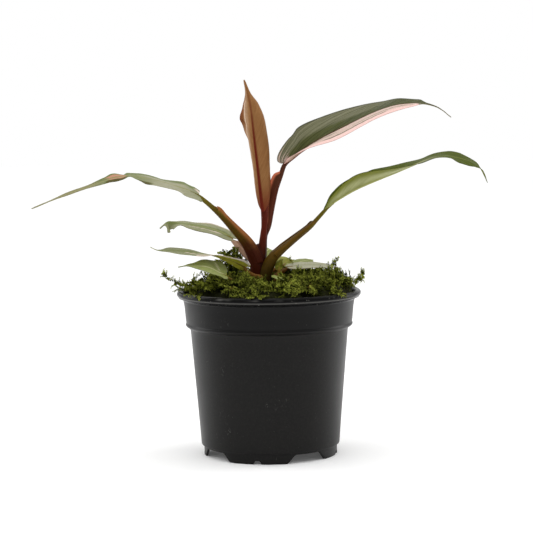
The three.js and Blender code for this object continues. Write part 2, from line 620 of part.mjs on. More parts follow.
function leafPieces(name, leaf) {
  const isLong = smoothRows(leaf.blade.midrib).length > LONG_BLADE;
  const gridSize = isLong ? BLADE_GRID.long : BLADE_GRID.short;
  const surface = bladeSurface(leaf.blade);
  const roomSurface = bladeSurface({ ...leaf.blade, halfWidth: leaf.blade.halfWidth + FIT });
  const stalkSteps = 2 * (leaf.stalk.length - 1);
  const pieces = [{
    name: `stalk_${name}`,
    finish: 'stalk',
    solid: solidOf(stalk(leaf.stalk, stalkSteps)),
    room: solidOf(stalk(leaf.stalk, stalkSteps, FIT)),
  }];
  if (leaf.sheath) {
    const gutter = sheathSurface(leaf.stalk, leaf.sheath);
    pieces.push({
      name: `sheath_${name}`,
      finish: 'sheath',
      solid: solidOf(sheet(gutter, ...SHEATH_GRID, SHEATH_THICKNESS)),
      room: solidOf(sheet(gutter, ...SHEATH_GRID, SHEATH_THICKNESS + 2 * FIT)),
    });
  }
  pieces.push({
    name: `blade_${name}`,
    finish: leaf.blade.finish,
    solid: solidOf(sheet(surface, ...gridSize, BLADE_THICKNESS)),
    room: solidOf(sheet(roomSurface, ...gridSize, BLADE_THICKNESS + 2 * FIT)),
  });
  return pieces;
}

// ---- assembly --------------------------------------------------------------------------------
const part = new THREE.Group();

function place(name, solid, finishName) {
  const mesh = new THREE.Mesh(geometryOf(solid), finishes[finishName]());
  mesh.name = name;
  part.add(mesh);
}

// The largest of the bodies that a cut leaves: the slivers past a crossing stalk fall away.
function mainBody(solid) {
  const bodies = solid.decompose();
  return bodies.reduce((best, body) => (body.volume() > best.volume() ? body : best));
}

const grown = [{
  name: 'stem',
  finish: 'stem',
  solid: solidOf(stalk(STEM, STEM_STEPS)),
  room: solidOf(stalk(STEM, STEM_STEPS, FIT)),
}];
for (const [name, leaf] of Object.entries(LEAVES)) grown.push(...leafPieces(name, leaf));
for (const [name, stations] of Object.entries(MOSS_SPRIGS)) {
  grown.push({
    name,
    finish: 'moss',
    solid: solidOf(stalk(stations, SPRIG_STEPS)),
    room: solidOf(stalk(stations, SPRIG_STEPS, FIT)),
  });
}

// Pieces that grow into one another give way in order: each keeps clear of all that come before it.
let taken = null;
for (const piece of grown) {
  place(piece.name, taken ? mainBody(piece.solid.subtract(taken)) : piece.solid, piece.finish);
  taken = taken ? taken.add(piece.room) : piece.room;
}

place('pot', potSolid(), 'pot');
place('potting_mix', mainBody(soilSolid().subtract(taken)), 'soil');
place('moss_mat', mainBody(mossSolid().subtract(taken)), 'moss');

export default part;
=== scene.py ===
# %% [markdown]
# # A pink princess philodendron in its nursery pot
# This lesson dresses a fixed frame of plain solids as a young aroid: leaf blades, stalks and sheaths,
# a bed of moss, damp potting mix and a black moulded pot. Each new piece is a surface worked out with
# numpy as whole arrays, and put into a mesh in one go. Lengths in the tables are millimetres, because
# a leaf is measured in them. The frame is in metres, so every point is scaled once, when its mesh is
# made. X runs to the right, Y away from the camera and Z up.

# %% Load the fixed frame
import math

import bpy
import numpy as np
from mathutils import Matrix


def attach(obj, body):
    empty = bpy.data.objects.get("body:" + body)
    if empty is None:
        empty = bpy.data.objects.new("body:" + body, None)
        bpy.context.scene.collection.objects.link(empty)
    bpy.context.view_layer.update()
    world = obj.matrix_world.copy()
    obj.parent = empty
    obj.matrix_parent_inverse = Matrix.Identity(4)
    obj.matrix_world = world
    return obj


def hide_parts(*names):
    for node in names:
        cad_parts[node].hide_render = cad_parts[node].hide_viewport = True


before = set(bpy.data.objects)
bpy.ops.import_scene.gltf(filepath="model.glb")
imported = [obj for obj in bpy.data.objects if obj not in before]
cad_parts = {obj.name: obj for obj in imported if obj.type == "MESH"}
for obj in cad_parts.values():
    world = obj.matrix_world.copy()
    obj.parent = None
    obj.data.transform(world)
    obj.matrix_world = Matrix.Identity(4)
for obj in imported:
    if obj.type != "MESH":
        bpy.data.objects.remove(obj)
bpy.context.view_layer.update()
MM = 0.001
print("nodes in the frame:", len(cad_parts))

# %% [markdown]
# ## Camera, light and floor
# A small plant looks natural through a long lens from about a metre away. The camera looks a little
# down on the pot, and leans by less than a degree. The room is a white studio: its light comes from
# above and from a bright wall behind, and little from the front, so black plastic stays black where
# it faces the camera and gets a soft grey line down both edges. The room looks plain white to the
# camera. Three panels add a little shape: one overhead, and a tall one at each side.

# %% Camera
CAMERA_AT = (-0.0012, -1.0812, 0.2018)
PITCH, LEAN = -4.84, -0.7  # degrees
LENS, SENSOR = 124.95, 36  # millimetres
scene = bpy.context.scene
camera = bpy.data.objects.new("camera", bpy.data.cameras.new("camera"))
scene.collection.objects.link(camera)
scene.camera = camera
camera.data.lens = LENS
camera.data.sensor_width = SENSOR
camera.data.clip_start = 0.05
camera.matrix_world = (Matrix.Translation(CAMERA_AT) @ Matrix.Rotation(math.radians(90 + PITCH), 4, "X")
                       @ Matrix.Rotation(math.radians(LEAN), 4, "Z"))
scene.view_settings.view_transform = "Standard"
print("camera at", [round(c, 4) for c in camera.matrix_world.translation])


# %% Lamps
def panel(name, at, facing, width, height, watts):
    """A soft rectangular lamp at one point that faces another, both in metres. The camera doesn't
    see the lamp."""
    data = bpy.data.lights.new(name, "AREA")
    data.shape, data.size, data.size_y, data.energy = "RECTANGLE", width, height, watts
    lamp = bpy.data.objects.new(name, data)
    scene.collection.objects.link(lamp)
    away = np.subtract(at, facing)
    lamp.rotation_euler = (math.atan2(math.hypot(away[0], away[1]), away[2]), 0,
                           math.atan2(away[0], -away[1]))
    lamp.location = at
    lamp.visible_camera = False


panel("overhead", (0.0, -0.35, 1.3), (0, 0, 0.12), 1.0, 0.7, 3.0)
panel("side_left", (-0.95, 0.35, 0.35), (0, 0, 0.1), 0.5, 0.9, 3.3)
panel("side_right", (0.95, 0.35, 0.35), (0, 0, 0.1), 0.5, 0.9, 4.3)
print("lamps:", len(bpy.data.lights))

# %% [markdown]
# The room's own light is weak from the front and from below, stronger from behind the plant and
# strongest from above. To the camera alone the room is plain white: the Light Path node tells the
# camera's rays from all others.

# %% Light of the room
ALL_ROUND, FROM_ABOVE, FROM_BEHIND = 0.26, 0.95, 0.55
world = bpy.data.worlds.new("studio")
scene.world = world
world.use_nodes = True
sky = world.node_tree
direction = sky.nodes.new("ShaderNodeSeparateXYZ")
sky.links.new(sky.nodes.new("ShaderNodeTexCoord").outputs["Generated"], direction.inputs[0])


def light_along(axis, gain):
    """A node whose third input is a strength: it adds gain times how far a ray points along an axis."""
    part = sky.nodes.new("ShaderNodeMath")
    part.operation, part.use_clamp = "MAXIMUM", True
    sky.links.new(direction.outputs[axis], part.inputs[0])
    part.inputs[1].default_value = 0
    total = sky.nodes.new("ShaderNodeMath")
    total.operation = "MULTIPLY_ADD"
    sky.links.new(part.outputs[0], total.inputs[0])
    total.inputs[1].default_value = gain
    return total


above, behind = light_along("Z", FROM_ABOVE), light_along("Y", FROM_BEHIND)
above.inputs[2].default_value = ALL_ROUND
sky.links.new(above.outputs[0], behind.inputs[2])
lit = sky.nodes["Background"]
lit.inputs["Color"].default_value = (1, 1, 1, 1)
sky.links.new(behind.outputs[0], lit.inputs["Strength"])
seen = sky.nodes.new("ShaderNodeBackground")
seen.inputs["Color"].default_value = (1, 1, 1, 1)
seen.inputs["Strength"].default_value = 1.0
ray = sky.nodes.new("ShaderNodeLightPath")
either = sky.nodes.new("ShaderNodeMixShader")
sky.links.new(ray.outputs["Is Camera Ray"], either.inputs[0])
sky.links.new(lit.outputs[0], either.inputs[1])
sky.links.new(seen.outputs[0], either.inputs[2])
sky.links.new(either.outputs[0], sky.nodes["World Output"].inputs["Surface"])
print("nodes in the room's light:", len(sky.nodes))

# %% [markdown]
# ## From arrays to a piece
# A surface is a grid of points. Its quads are made from the numbers of their corners, and a closed
# grid joins its last column to its first. A stack of rings closes at both ends in a fan round a pole.
# The order of a face's corners says which side is its outside, so every body here is built with its
# faces outwards. One helper puts points and faces into a mesh, scales them to metres, gives them their
# finishes and hangs the object on the frame. The piece's object stays at the origin: its place is in
# its points.

# %% Grids and meshes
def grid_quads(rows, columns, closed=False):
    """Corner numbers of the quads of a grid of points. A closed grid joins its last column to its
    first. The corners run along the row first, so a quad faces the side from which the next column
    is to the right and the next row is above."""
    spans = columns if closed else columns - 1
    i, j = np.meshgrid(np.arange(rows - 1), np.arange(spans), indexing="ij")
    next_j = (j + 1) % columns
    quads = np.stack([i * columns + j, i * columns + next_j, (i + 1) * columns + next_j,
                      (i + 1) * columns + j], -1)
    return quads.reshape(-1, 4)


def closed_body(rings, first_pole, last_pole, flip=False):
    """Points and faces of a stack of rings, closed at each end by a fan of triangles round a pole.
    Looked at from the last pole's side the rings run anticlockwise, or clockwise if flip is set."""
    rows, columns = rings.shape[:2]
    here, last = np.arange(columns), (rows - 1) * columns
    after = (here + 1) % columns
    pole = np.full(columns, rows * columns)
    quads = grid_quads(rows, columns, closed=True)
    if flip:
        here, after, quads = after, here, quads[:, ::-1]
    fans = [np.stack([pole, after, here], 1), np.stack([pole + 1, last + here, last + after], 1)]
    return np.concatenate([rings.reshape(-1, 3), [first_pole, last_pole]]), [quads] + fans


def piece(name, points, faces, finishes, nodes, finish_of=None, uv=None, layers=None):
    """One mesh object from points in millimetres and a list of face arrays. finish_of holds the
    number of each face's finish, uv a place on the pattern for each point, and layers named numbers
    for each point that the finishes read."""
    points = np.asarray(points, float).reshape(-1, 3) * MM
    faces = [np.asarray(f) for f in faces if len(f)]
    loops = np.concatenate([f.ravel() for f in faces])
    sides = np.concatenate([np.full(len(f), f.shape[1]) for f in faces])
    mesh = bpy.data.meshes.new(name)
    mesh.vertices.add(len(points))
    mesh.vertices.foreach_set("co", points.ravel())
    mesh.loops.add(len(loops))
    mesh.loops.foreach_set("vertex_index", loops.astype(np.int32))
    mesh.polygons.add(len(sides))
    mesh.polygons.foreach_set("loop_start", (np.cumsum(sides) - sides).astype(np.int32))
    mesh.polygons.foreach_set("loop_total", sides.astype(np.int32))
    mesh.polygons.foreach_set("use_smooth", np.ones(len(sides), bool))
    if finish_of is not None:
        mesh.polygons.foreach_set("material_index", np.asarray(finish_of, np.int32))
    if uv is not None:
        layer = mesh.uv_layers.new(name="surface")
        layer.data.foreach_set("uv", np.asarray(uv, float).reshape(-1, 2)[loops].ravel())
    for key, values in (layers or {}).items():
        attribute = mesh.attributes.new(key, "FLOAT", "POINT")
        attribute.data.foreach_set("value", np.asarray(values, np.float32).ravel())
    mesh.update(calc_edges=True)
    mesh.validate()
    obj = bpy.data.objects.new(name, mesh)
    scene.collection.objects.link(obj)
    for finish in finishes:
        mesh.materials.append(finish)
    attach(obj, "root")
    if nodes:
        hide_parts(*nodes)
    made[name] = int((sides - 2).sum())
    return obj


made = {}  # triangles of each piece

# %% [markdown]
# ## Small tools for finishes
# A finish is a network of shader nodes. The helpers below add one node and return its output, so a
# finish reads as a short list of steps. Colours are given as they look on a screen, and turned into
# the linear values that the shader wants.

# %% Shader helpers
def paint(red, green, blue):
    """A screen colour, 0 to 255, as the linear colour that the shader works with."""
    share = np.array([red, green, blue]) / 255
    linear = np.where(share <= 0.04045, share / 12.92, ((share + 0.055) / 1.055) ** 2.4)
    return (*linear, 1.0)


class Finish:
    """One material, with short calls that add a node and return its output."""

    def __init__(self, name, roughness, specular=0.5):
        self.material = bpy.data.materials.new(name)
        self.material.use_nodes = True
        self.tree = self.material.node_tree
        self.shader = self.tree.nodes["Principled BSDF"]
        self.shader.inputs["Roughness"].default_value = roughness
        self.shader.inputs["Specular IOR Level"].default_value = specular

    def add(self, kind, **inputs):
        """A node of a kind, with its inputs set to a value or joined to another node's output."""
        node = self.tree.nodes.new("ShaderNode" + kind)
        for key, value in inputs.items():
            self.put(node.inputs[int(key[1:]) if key[0] == "i" and key[1:].isdigit() else key], value)
        return node

    def put(self, socket, value):
        """Set an input to a value, or join it to another node's output."""
        if isinstance(value, bpy.types.NodeSocket):
            self.tree.links.new(value, socket)
        else:
            socket.default_value = value

    def set(self, name, value):
        """Set or join one of the surface's own inputs."""
        self.put(self.shader.inputs[name], value)

    def math(self, how, a, b):
        """A sum, product or other result of two values."""
        node = self.add("Math", i0=a, i1=b)
        node.operation = how
        return node.outputs[0]

    def place(self, scale=(1, 1, 1), uv=False, shift=(0, 0, 0)):
        """Where a point is: on the object in metres, or on its own pattern map."""
        source = self.add("UVMap" if uv else "TexCoord")
        if uv:
            source.uv_map = "surface"
        mapping = self.add("Mapping", Vector=source.outputs["UV" if uv else "Object"], Scale=scale,
                           Location=shift)
        return mapping.outputs[0]

    def noise(self, where, scale, detail=3.0, rough=0.55, warp=0.0):
        """Cloudy random numbers round 0.5. A larger scale makes smaller clouds."""
        return self.add("TexNoise", Vector=where, Scale=scale, Detail=detail, Roughness=rough,
                        Distortion=warp).outputs["Fac"]

    def layer(self, name):
        """The number that a layer of the piece holds at each point."""
        node = self.add("Attribute")
        node.attribute_name = name
        return node.outputs["Fac"]

    def between(self, value, low, high, start=0.0, end=1.0):
        """value carried smoothly from low..high to start..end, and held there."""
        node = self.add("MapRange", Value=value)
        node.interpolation_type = "SMOOTHSTEP"
        for key, number in zip(("From Min", "From Max", "To Min", "To Max"), (low, high, start, end)):
            self.put(node.inputs[key], number)
        return node.outputs[0]

    def blend(self, share, a, b):
        """Colour a where share is 0 and colour b where it is 1."""
        node = self.add("Mix")
        node.data_type = "RGBA"
        self.put(node.inputs[0], share)
        self.put(node.inputs[6], a)
        self.put(node.inputs[7], b)
        return node.outputs[2]

    def bump(self, height, depth_mm, strength=1.0):
        """Relief on the surface, depth_mm deep."""
        node = self.add("Bump", Height=height, Distance=depth_mm * MM, Strength=strength)
        self.set("Normal", node.outputs[0])


# %% [markdown]
# ## The floor
# The floor is a wide pale disc, a little rougher than paper. It isn't part of the plant.

# %% Floor
floor_finish = Finish("pale_floor", 0.9, 0.1)
grain = floor_finish.noise(floor_finish.place(), 6.0)
floor_finish.set("Base Color", floor_finish.blend(grain, (0.94, 0.94, 0.94, 1), (0.96, 0.96, 0.96, 1)))
floor_finish.set("Emission Color", (1, 1, 1, 1))
floor_finish.set("Emission Strength", 0.07)
floor_sides = 96
turn = np.linspace(0, 2 * np.pi, floor_sides + 1)[:-1]
reach = np.array([0.02, 0.5, 2, 6])[:, None]  # metres
rings = np.stack([reach * np.cos(turn), reach * np.sin(turn), 0 * reach * turn], -1)
quads = grid_quads(len(reach), floor_sides, closed=True)[:, ::-1]
mesh = bpy.data.meshes.new("floor")
mesh.from_pydata(rings.reshape(-1, 3).tolist(), [], quads.tolist() + [list(range(floor_sides))])
mesh.materials.append(floor_finish.material)
floor = bpy.data.objects.new("floor", mesh)
scene.collection.objects.link(floor)
print("floor faces:", len(mesh.polygons))

# %% [markdown]
# ## The pot
# The pot is thin black polypropylene, moulded in one piece. Its wall is a profile carried round the
# axis: up the outside, over the rolled lip and down the inside to the raised floor. Its skirt stands
# on four feet. The Spin tool could turn the wall, and a Boolean cut the gaps between the feet. Here
# the lower edge of the skirt is lifted instead: its height is a function of the bearing, so the gaps
# get their slanting sides in the same sweep, and the mesh stays one clean shell.

# %% Pot measures
SPOKES = 360
LIP, LIP_TOP, ROLL = 54.0, 96.7, 1.9  # radius over the lip, its top, and the radius of its roll
LIP_INNER, LIP_LOW = 50.6, 91.3  # radius and height past which a row belongs to the lip
SKIRT, SKIRT_TOP, WALL = 39.2, 6.0, 1.2
FLOOR_LOW, FLOOR_TOP = 5.8, 7.0
GAP_CENTRES = np.array([33.5, 123.5, 213.5, 303.5])  # degrees from the front towards +X
GAP_HEIGHT, GAP_HALF, GAP_SLOPE = 5.0, 20.5, 9.5  # millimetres, then degrees
WEEP_HEIGHT, WEEP_HALF, WEEP_SLOPE = 2.0, 3.2, 1.1
OUTSIDE = [(40.55, 6.3), (40.75, 7.0), (42.0, 22.5), (43.3, 38.5), (44.7, 55.5), (46.2, 73.4),
           (46.6, 74.6), (48.3, 75.7), (48.8, 76.2), (49.05, 76.8), (48.95, 77.3), (48.68, 77.8),
           (49.0, 80.5), (49.3, 84.0), (49.6, 87.3), (49.95, 89.5), (50.3, 91.2), (51.4, 92.1),
           (53.0, 92.75)]
INSIDE = [(49.3, 91.5), (48.5, 87.4), (47.4, 76.4), (45.0, 74.0), (39.5, 8.6), (38.6, 7.2)]


def skirt_edge(bearing):
    """Height of the skirt's lower edge at a bearing in degrees: 5 mm in the middle of a gap, 0 on a
    foot, and an S-shaped slope between, with a small weep slot in the middle of each foot."""
    away = np.abs((bearing[:, None] - GAP_CENTRES + 180) % 360 - 180).min(1)
    slope = np.clip((GAP_HALF - away) / GAP_SLOPE, 0, 1)
    weep = np.clip((WEEP_HALF - np.abs(45 - away)) / WEEP_SLOPE, 0, 1)
    return GAP_HEIGHT * slope**2 * (3 - 2 * slope) + WEEP_HEIGHT * weep**2 * (3 - 2 * weep)


def divided(profile, steps=4):
    """A profile of (radius, height) points with every span cut into equal steps."""
    profile = np.asarray(profile, float)
    knots = np.concatenate([[0], np.cumsum(np.linalg.norm(np.diff(profile, axis=0), axis=1))])
    at = np.concatenate([np.linspace(a, b, steps, endpoint=False) for a, b in zip(knots, knots[1:])]
                        + [knots[-1:]])
    return np.stack([np.interp(at, knots, profile[:, k]) for k in range(2)], 1)


# %% Pot surface
bearings = np.linspace(0, 360, SPOKES + 1)[:-1]
edge = skirt_edge(bearings)[None]
lip_turn = np.radians(np.linspace(-62, 205, 16))
lip = np.stack([LIP - ROLL + ROLL * np.cos(lip_turn), LIP_TOP - ROLL + ROLL * np.sin(lip_turn)], 1)
profile = np.concatenate([divided(OUTSIDE), lip, divided(INSIDE)])
angle = np.radians(bearings)[None, :]


def carried(radius, height):
    """Points of a profile carried round the axis, with the bearing measured from the front."""
    radius, height = np.broadcast_arrays(radius + 0 * angle, height)
    return np.stack([radius * np.sin(angle), -radius * np.cos(angle), height], -1)


down, up = np.linspace(0, 1, 4)[:, None], np.linspace(0, 1, 5)[:, None]
inner_skirt = carried(SKIRT - WALL, FLOOR_LOW + (edge - FLOOR_LOW) * down)
under_edge = carried(np.array([[SKIRT - WALL + 0.25], [SKIRT - 0.25]]), edge)
outer_skirt = carried(SKIRT, edge + 0.2 + (SKIRT_TOP - edge - 0.2) * up)
body = carried(profile[:, :1], profile[:, 1:])
floor_under = carried(np.array([[0.6], [12.0], [30.0]]), np.full((3, 1), FLOOR_LOW))
floor_top = carried(np.array([[30.0], [12.0], [0.6]]), np.full((3, 1), FLOOR_TOP))
rows = np.concatenate([floor_under, inner_skirt, under_edge, outer_skirt, body, floor_top])
pot_points, pot_faces = closed_body(rows, (0, 0, FLOOR_LOW), (0, 0, FLOOR_TOP))
print("pot rows:", len(rows), "faces:", sum(len(f) for f in pot_faces))

# %% [markdown]
# The plastic is satin on the wall and glossy on the lip, where fingers and trays polish it. Close up
# it has a fine grain from the mould, a few pale scuffs and a little dust. From the collar up it is
# painted a shade blacker, as painted shade under the lip. One even black would look like a drawing,
# so noise on the object's own coordinates changes the tone, the roughness and the relief a little.
# The lip's faces have a finish of their own, blacker and smoother, with soft grey streaks of painted
# highlight along the crest of its roll and a thin painted highlight lower on the roll.

# %% Wall finish
plastic = Finish("black_plastic", 0.4, 0.17)
spot = plastic.place()
height = plastic.add("SeparateXYZ", Vector=spot).outputs["Z"]
cloud = plastic.noise(spot, 28.0, 4.0)
fine = plastic.noise(spot, 900.0, 3.0)
scratch_cells = plastic.noise(plastic.place(scale=(1.0, 1.0, 0.6)), 560.0, 2.0, 0.5, 1.5)
where_worn = plastic.noise(spot, 45.0, 2.0)
scuffs = plastic.math("MULTIPLY", plastic.between(scratch_cells, 0.63, 0.73),
                      plastic.between(where_worn, 0.56, 0.68))
dust = plastic.between(plastic.noise(spot, 1500.0, 1.0), 0.74, 0.8, 0, 0.5)
black = plastic.blend(cloud, paint(10, 9, 8), paint(16, 15, 14))
black = plastic.blend(plastic.between(fine, 0.4, 0.65, 0, 0.4), black, paint(27, 26, 24))
# Painted shade: from the collar step up the black is blended towards near black, the shade under the lip.
black = plastic.blend(plastic.between(height, 0.0745, 0.0765, 0, 0.85), black, paint(3, 3, 3))
black = plastic.blend(plastic.math("MULTIPLY", scuffs, 0.2), black, paint(120, 120, 116))
black = plastic.blend(plastic.math("MULTIPLY", dust, 0.25), black, paint(150, 148, 140))
plastic.set("Base Color", black)
satin = plastic.between(cloud, 0.2, 0.8, 0.34, 0.44)
plastic.set("Roughness", plastic.math("ADD", satin, plastic.math("MULTIPLY", scuffs, 0.2)))
plastic.bump(plastic.math("ADD", fine, plastic.math("MULTIPLY", cloud, 2.0)), 0.02, 0.6)
print("nodes in the wall finish:", len(plastic.tree.nodes))

# %% Lip finish
polished = Finish("polished_lip", 0.24, 0.08)
wear = polished.noise(polished.place(scale=(1, 1, 3)), 160.0, 4.0)
fleck = polished.between(polished.noise(polished.place(), 900.0, 1.0), 0.72, 0.78, 0, 0.6)
lip_height = polished.add("SeparateXYZ", Vector=polished.place()).outputs["Z"]
# Painted highlight: grey streaks on the crest of the roll where the noise is high, and a thin grey line lower
# on the roll.
crest = polished.math("MULTIPLY", polished.between(lip_height, 0.0946, 0.0954),
                      polished.between(lip_height, 0.0958, 0.0965, 1, 0))
painted_highlight_spots = polished.between(polished.noise(polished.place(), 50.0, 2.0), 0.5, 0.64)
painted_highlight_streaks = polished.math("MULTIPLY", crest, painted_highlight_spots)
lower_edge_highlight = polished.math("MULTIPLY", polished.between(lip_height, 0.0930, 0.0935),
                           polished.between(lip_height, 0.0938, 0.0943, 0.6, 0))
lip_black = polished.blend(wear, paint(4, 4, 4), paint(13, 13, 12))
lip_black = polished.blend(polished.math("MAXIMUM", painted_highlight_streaks, lower_edge_highlight), lip_black, paint(92, 91, 88))
polished.set("Base Color", polished.blend(fleck, lip_black, paint(130, 128, 120)))
polished.set("Roughness", polished.between(wear, 0.3, 0.7, 0.2, 0.28))
polished.bump(wear, 0.05, 0.5)
print("nodes in the lip finish:", len(polished.tree.nodes))

# %% Pot
row_radius = np.hypot(rows[:, 0, 0], rows[:, 0, 1])
on_lip = (row_radius > LIP_INNER) & (rows[:, 0, 2] > LIP_LOW)
pot_finish = np.concatenate([np.repeat(on_lip[:-1] & on_lip[1:], SPOKES), np.zeros(2 * SPOKES, bool)])
piece("pot_shell", pot_points, pot_faces, [plastic.material, polished.material], ["pot"],
      pot_finish)
print("pot triangles:", made["pot_shell"])

# %% [markdown]
# ## The smooth line behind every leaf
# A leaf hangs on a curved midrib, and a stalk is a tube along a curved line. Blender has curve objects
# for such lines, but a blade has to bend, roll and fold with its midrib, so the lines are worked out
# here. Each is given by a few stations, rows of numbers that start with x, y and z, and every number
# runs smoothly from station to station along a cubic. The frame of the line says at each place which
# way is along it, which way is its right-hand side and which way its upper face looks.

# %% Smooth lines and their frames
def unit(vectors):
    """The vectors, each made 1 long."""
    return vectors / np.maximum(np.linalg.norm(vectors, axis=-1, keepdims=True), 1e-12)


def smooth(knots, rows, at):
    """The row at each place: between two knots every number follows the cubic that leaves both with
    the slope of the line through their neighbours."""
    knots, rows = np.asarray(knots, float), np.asarray(rows, float)
    here = np.arange(len(knots))
    before, after = np.maximum(here - 1, 0), np.minimum(here + 1, len(knots) - 1)
    slopes = (rows[after] - rows[before]) / (knots[after] - knots[before])[:, None]
    at = np.clip(at, knots[0], knots[-1])
    i = np.clip(np.searchsorted(knots, at, side="right") - 1, 0, len(knots) - 2)
    h = (knots[i + 1] - knots[i])[..., None]
    x = (at - knots[i])[..., None] / h
    return ((2 * x**3 - 3 * x**2 + 1) * rows[i] + (x**3 - 2 * x**2 + x) * h * slopes[i]
            + (3 * x**2 - 2 * x**3) * rows[i + 1] + (x**3 - x**2) * h * slopes[i + 1])


def along_table(pairs, at):
    """The value at each place, from a table of (place, value) pairs."""
    pairs = np.asarray(pairs, float)
    return smooth(pairs[:, 0], pairs[:, 1:], at)[..., 0]


def knots_of(stations):
    """Distance along the stations, summed from the first."""
    step = np.linalg.norm(np.diff(np.asarray(stations, float)[:, :3], axis=0), axis=1)
    return np.concatenate([[0], np.cumsum(step)])


def frame_of(knots, stations, at, roll=0.0, up=(0, 0, 1)):
    """Along, right and upper directions at each place, turned about the line by roll in degrees."""
    tiny = 1e-3 * knots[-1]
    middle = np.clip(at, tiny, knots[-1] - tiny)
    line = np.asarray(stations, float)[:, :3]
    along = unit(smooth(knots, line, middle + tiny) - smooth(knots, line, middle - tiny))
    up = np.asarray(up, float)
    face = unit(up - (along @ up)[..., None] * along)
    side = np.cross(along, face)
    turn = np.radians(roll)[..., None] if np.ndim(roll) else np.radians(roll)
    return along, side * np.cos(turn) - face * np.sin(turn), face * np.cos(turn) + side * np.sin(turn)


# %% [markdown]
# ## The shape of a blade
# A philodendron's blade is heart-shaped. It could be cut from a plane and bent with modifiers, but then
# its pattern wouldn't know where the veins are. The side veins leave the midrib backwards at the base,
# where they make the two lobes, and swing forwards towards the tip. So the blade is drawn in its own
# coordinates: u runs along the midrib, and v runs out along the side vein that starts there, from -1
# at the left margin to 1 at the right one. Patterns that follow u and v then follow the veins, as the
# sectors of a variegated leaf do.
#
# Each half of the blade leaves the midrib at its fold angle and bends on the way to the margin by its
# curl and flare. The cross-section is found by adding up small steps at that angle. The blade has a
# thickness, a groove over the midrib and a ridge under it, and a margin that waves a little.

# %% Blade surface
THICKNESS, GROOVE, RIDGE = 0.34, 0.3, 0.75  # of a blade, and over and under its midrib
QUILTS = 17  # swellings between the side veins
BEND_STEPS = 24  # straight steps that a side vein's bend is summed over
LONG_BLADE = 60  # a midrib longer than this gets the fine grid
FINE_GRID, COARSE_GRID = (150, 21), (64, 13)  # steps along u, and along v on each side
VEIN_REACH = [(0, 0.42), (0.05, 0.7), (0.12, 0.92), (0.25, 1.12), (0.4, 1.15), (0.55, 1.05), (0.7, 0.8),
              (0.82, 0.45), (0.92, 0.14), (1, 0.02)]


def blade_points(leaf, u, v):
    """Middle surface of a blade, its upward normal, and the distance from the midrib. A point's vein
    leaves the midrib at the angle forward + (back - forward) * exp(-u / 0.12). Its length is the half
    width, times the reach at u, times |v|. Its slope out there is fold + curl * |v| + flare * |v|^3."""
    midrib = np.asarray(leaf["midrib"], float)
    knots = knots_of(midrib)
    length = knots[-1]
    names = ("roll", "fold_left", "fold_right", "curl_left", "curl_right", "flare_left", "flare_right")
    whole = {"fold_left": "fold", "fold_right": "fold", "curl_left": "curl", "curl_right": "curl"}
    columns = [np.broadcast_to(leaf.get(n, leaf.get(whole.get(n, n), 0)), len(midrib)) for n in names]
    stations = np.column_stack([midrib] + columns)
    back, forward = leaf.get("veins", (150, 58))
    out, left_side = np.abs(v), v < 0
    bearing = np.radians(forward + (back - forward) * np.exp(-u / 0.12))
    reach = leaf.get("reach", VEIN_REACH)
    reach = np.where(left_side, along_table(reach, u), along_table(leaf.get("reach_right", reach), u))
    vein = leaf["half_width"] * np.maximum(reach, 0.004) * out
    forth, across = u * length + vein * np.cos(bearing), vein * np.sin(bearing)
    row = smooth(knots, stations, forth)
    along, right, upper = frame_of(knots, stations, np.clip(forth, 0, length), row[..., 3],
                                   leaf.get("up", (0, 0, 1)))
    fold, curl, flare = (np.radians(np.where(left_side, row[..., k], row[..., k + 1])) for k in (4, 6, 8))
    steps = (np.arange(BEND_STEPS) + 0.5) / BEND_STEPS
    lean = fold + curl * out * steps[:, None, None] + flare * (out * steps[:, None, None]) ** 3
    sideways, rise = np.cos(lean).mean(0) * across, np.sin(lean).mean(0) * across
    end = fold + curl * out + flare * out**3
    sign = np.sign(v)
    past = np.minimum(forth, 0) + np.maximum(forth - length, 0)
    point = (row[..., :3] + along * past[..., None] + right * (sideways * sign)[..., None]
             + upper * rise[..., None])
    normal = upper * np.cos(end)[..., None] - right * (np.sin(end) * sign)[..., None]
    return point, normal, across


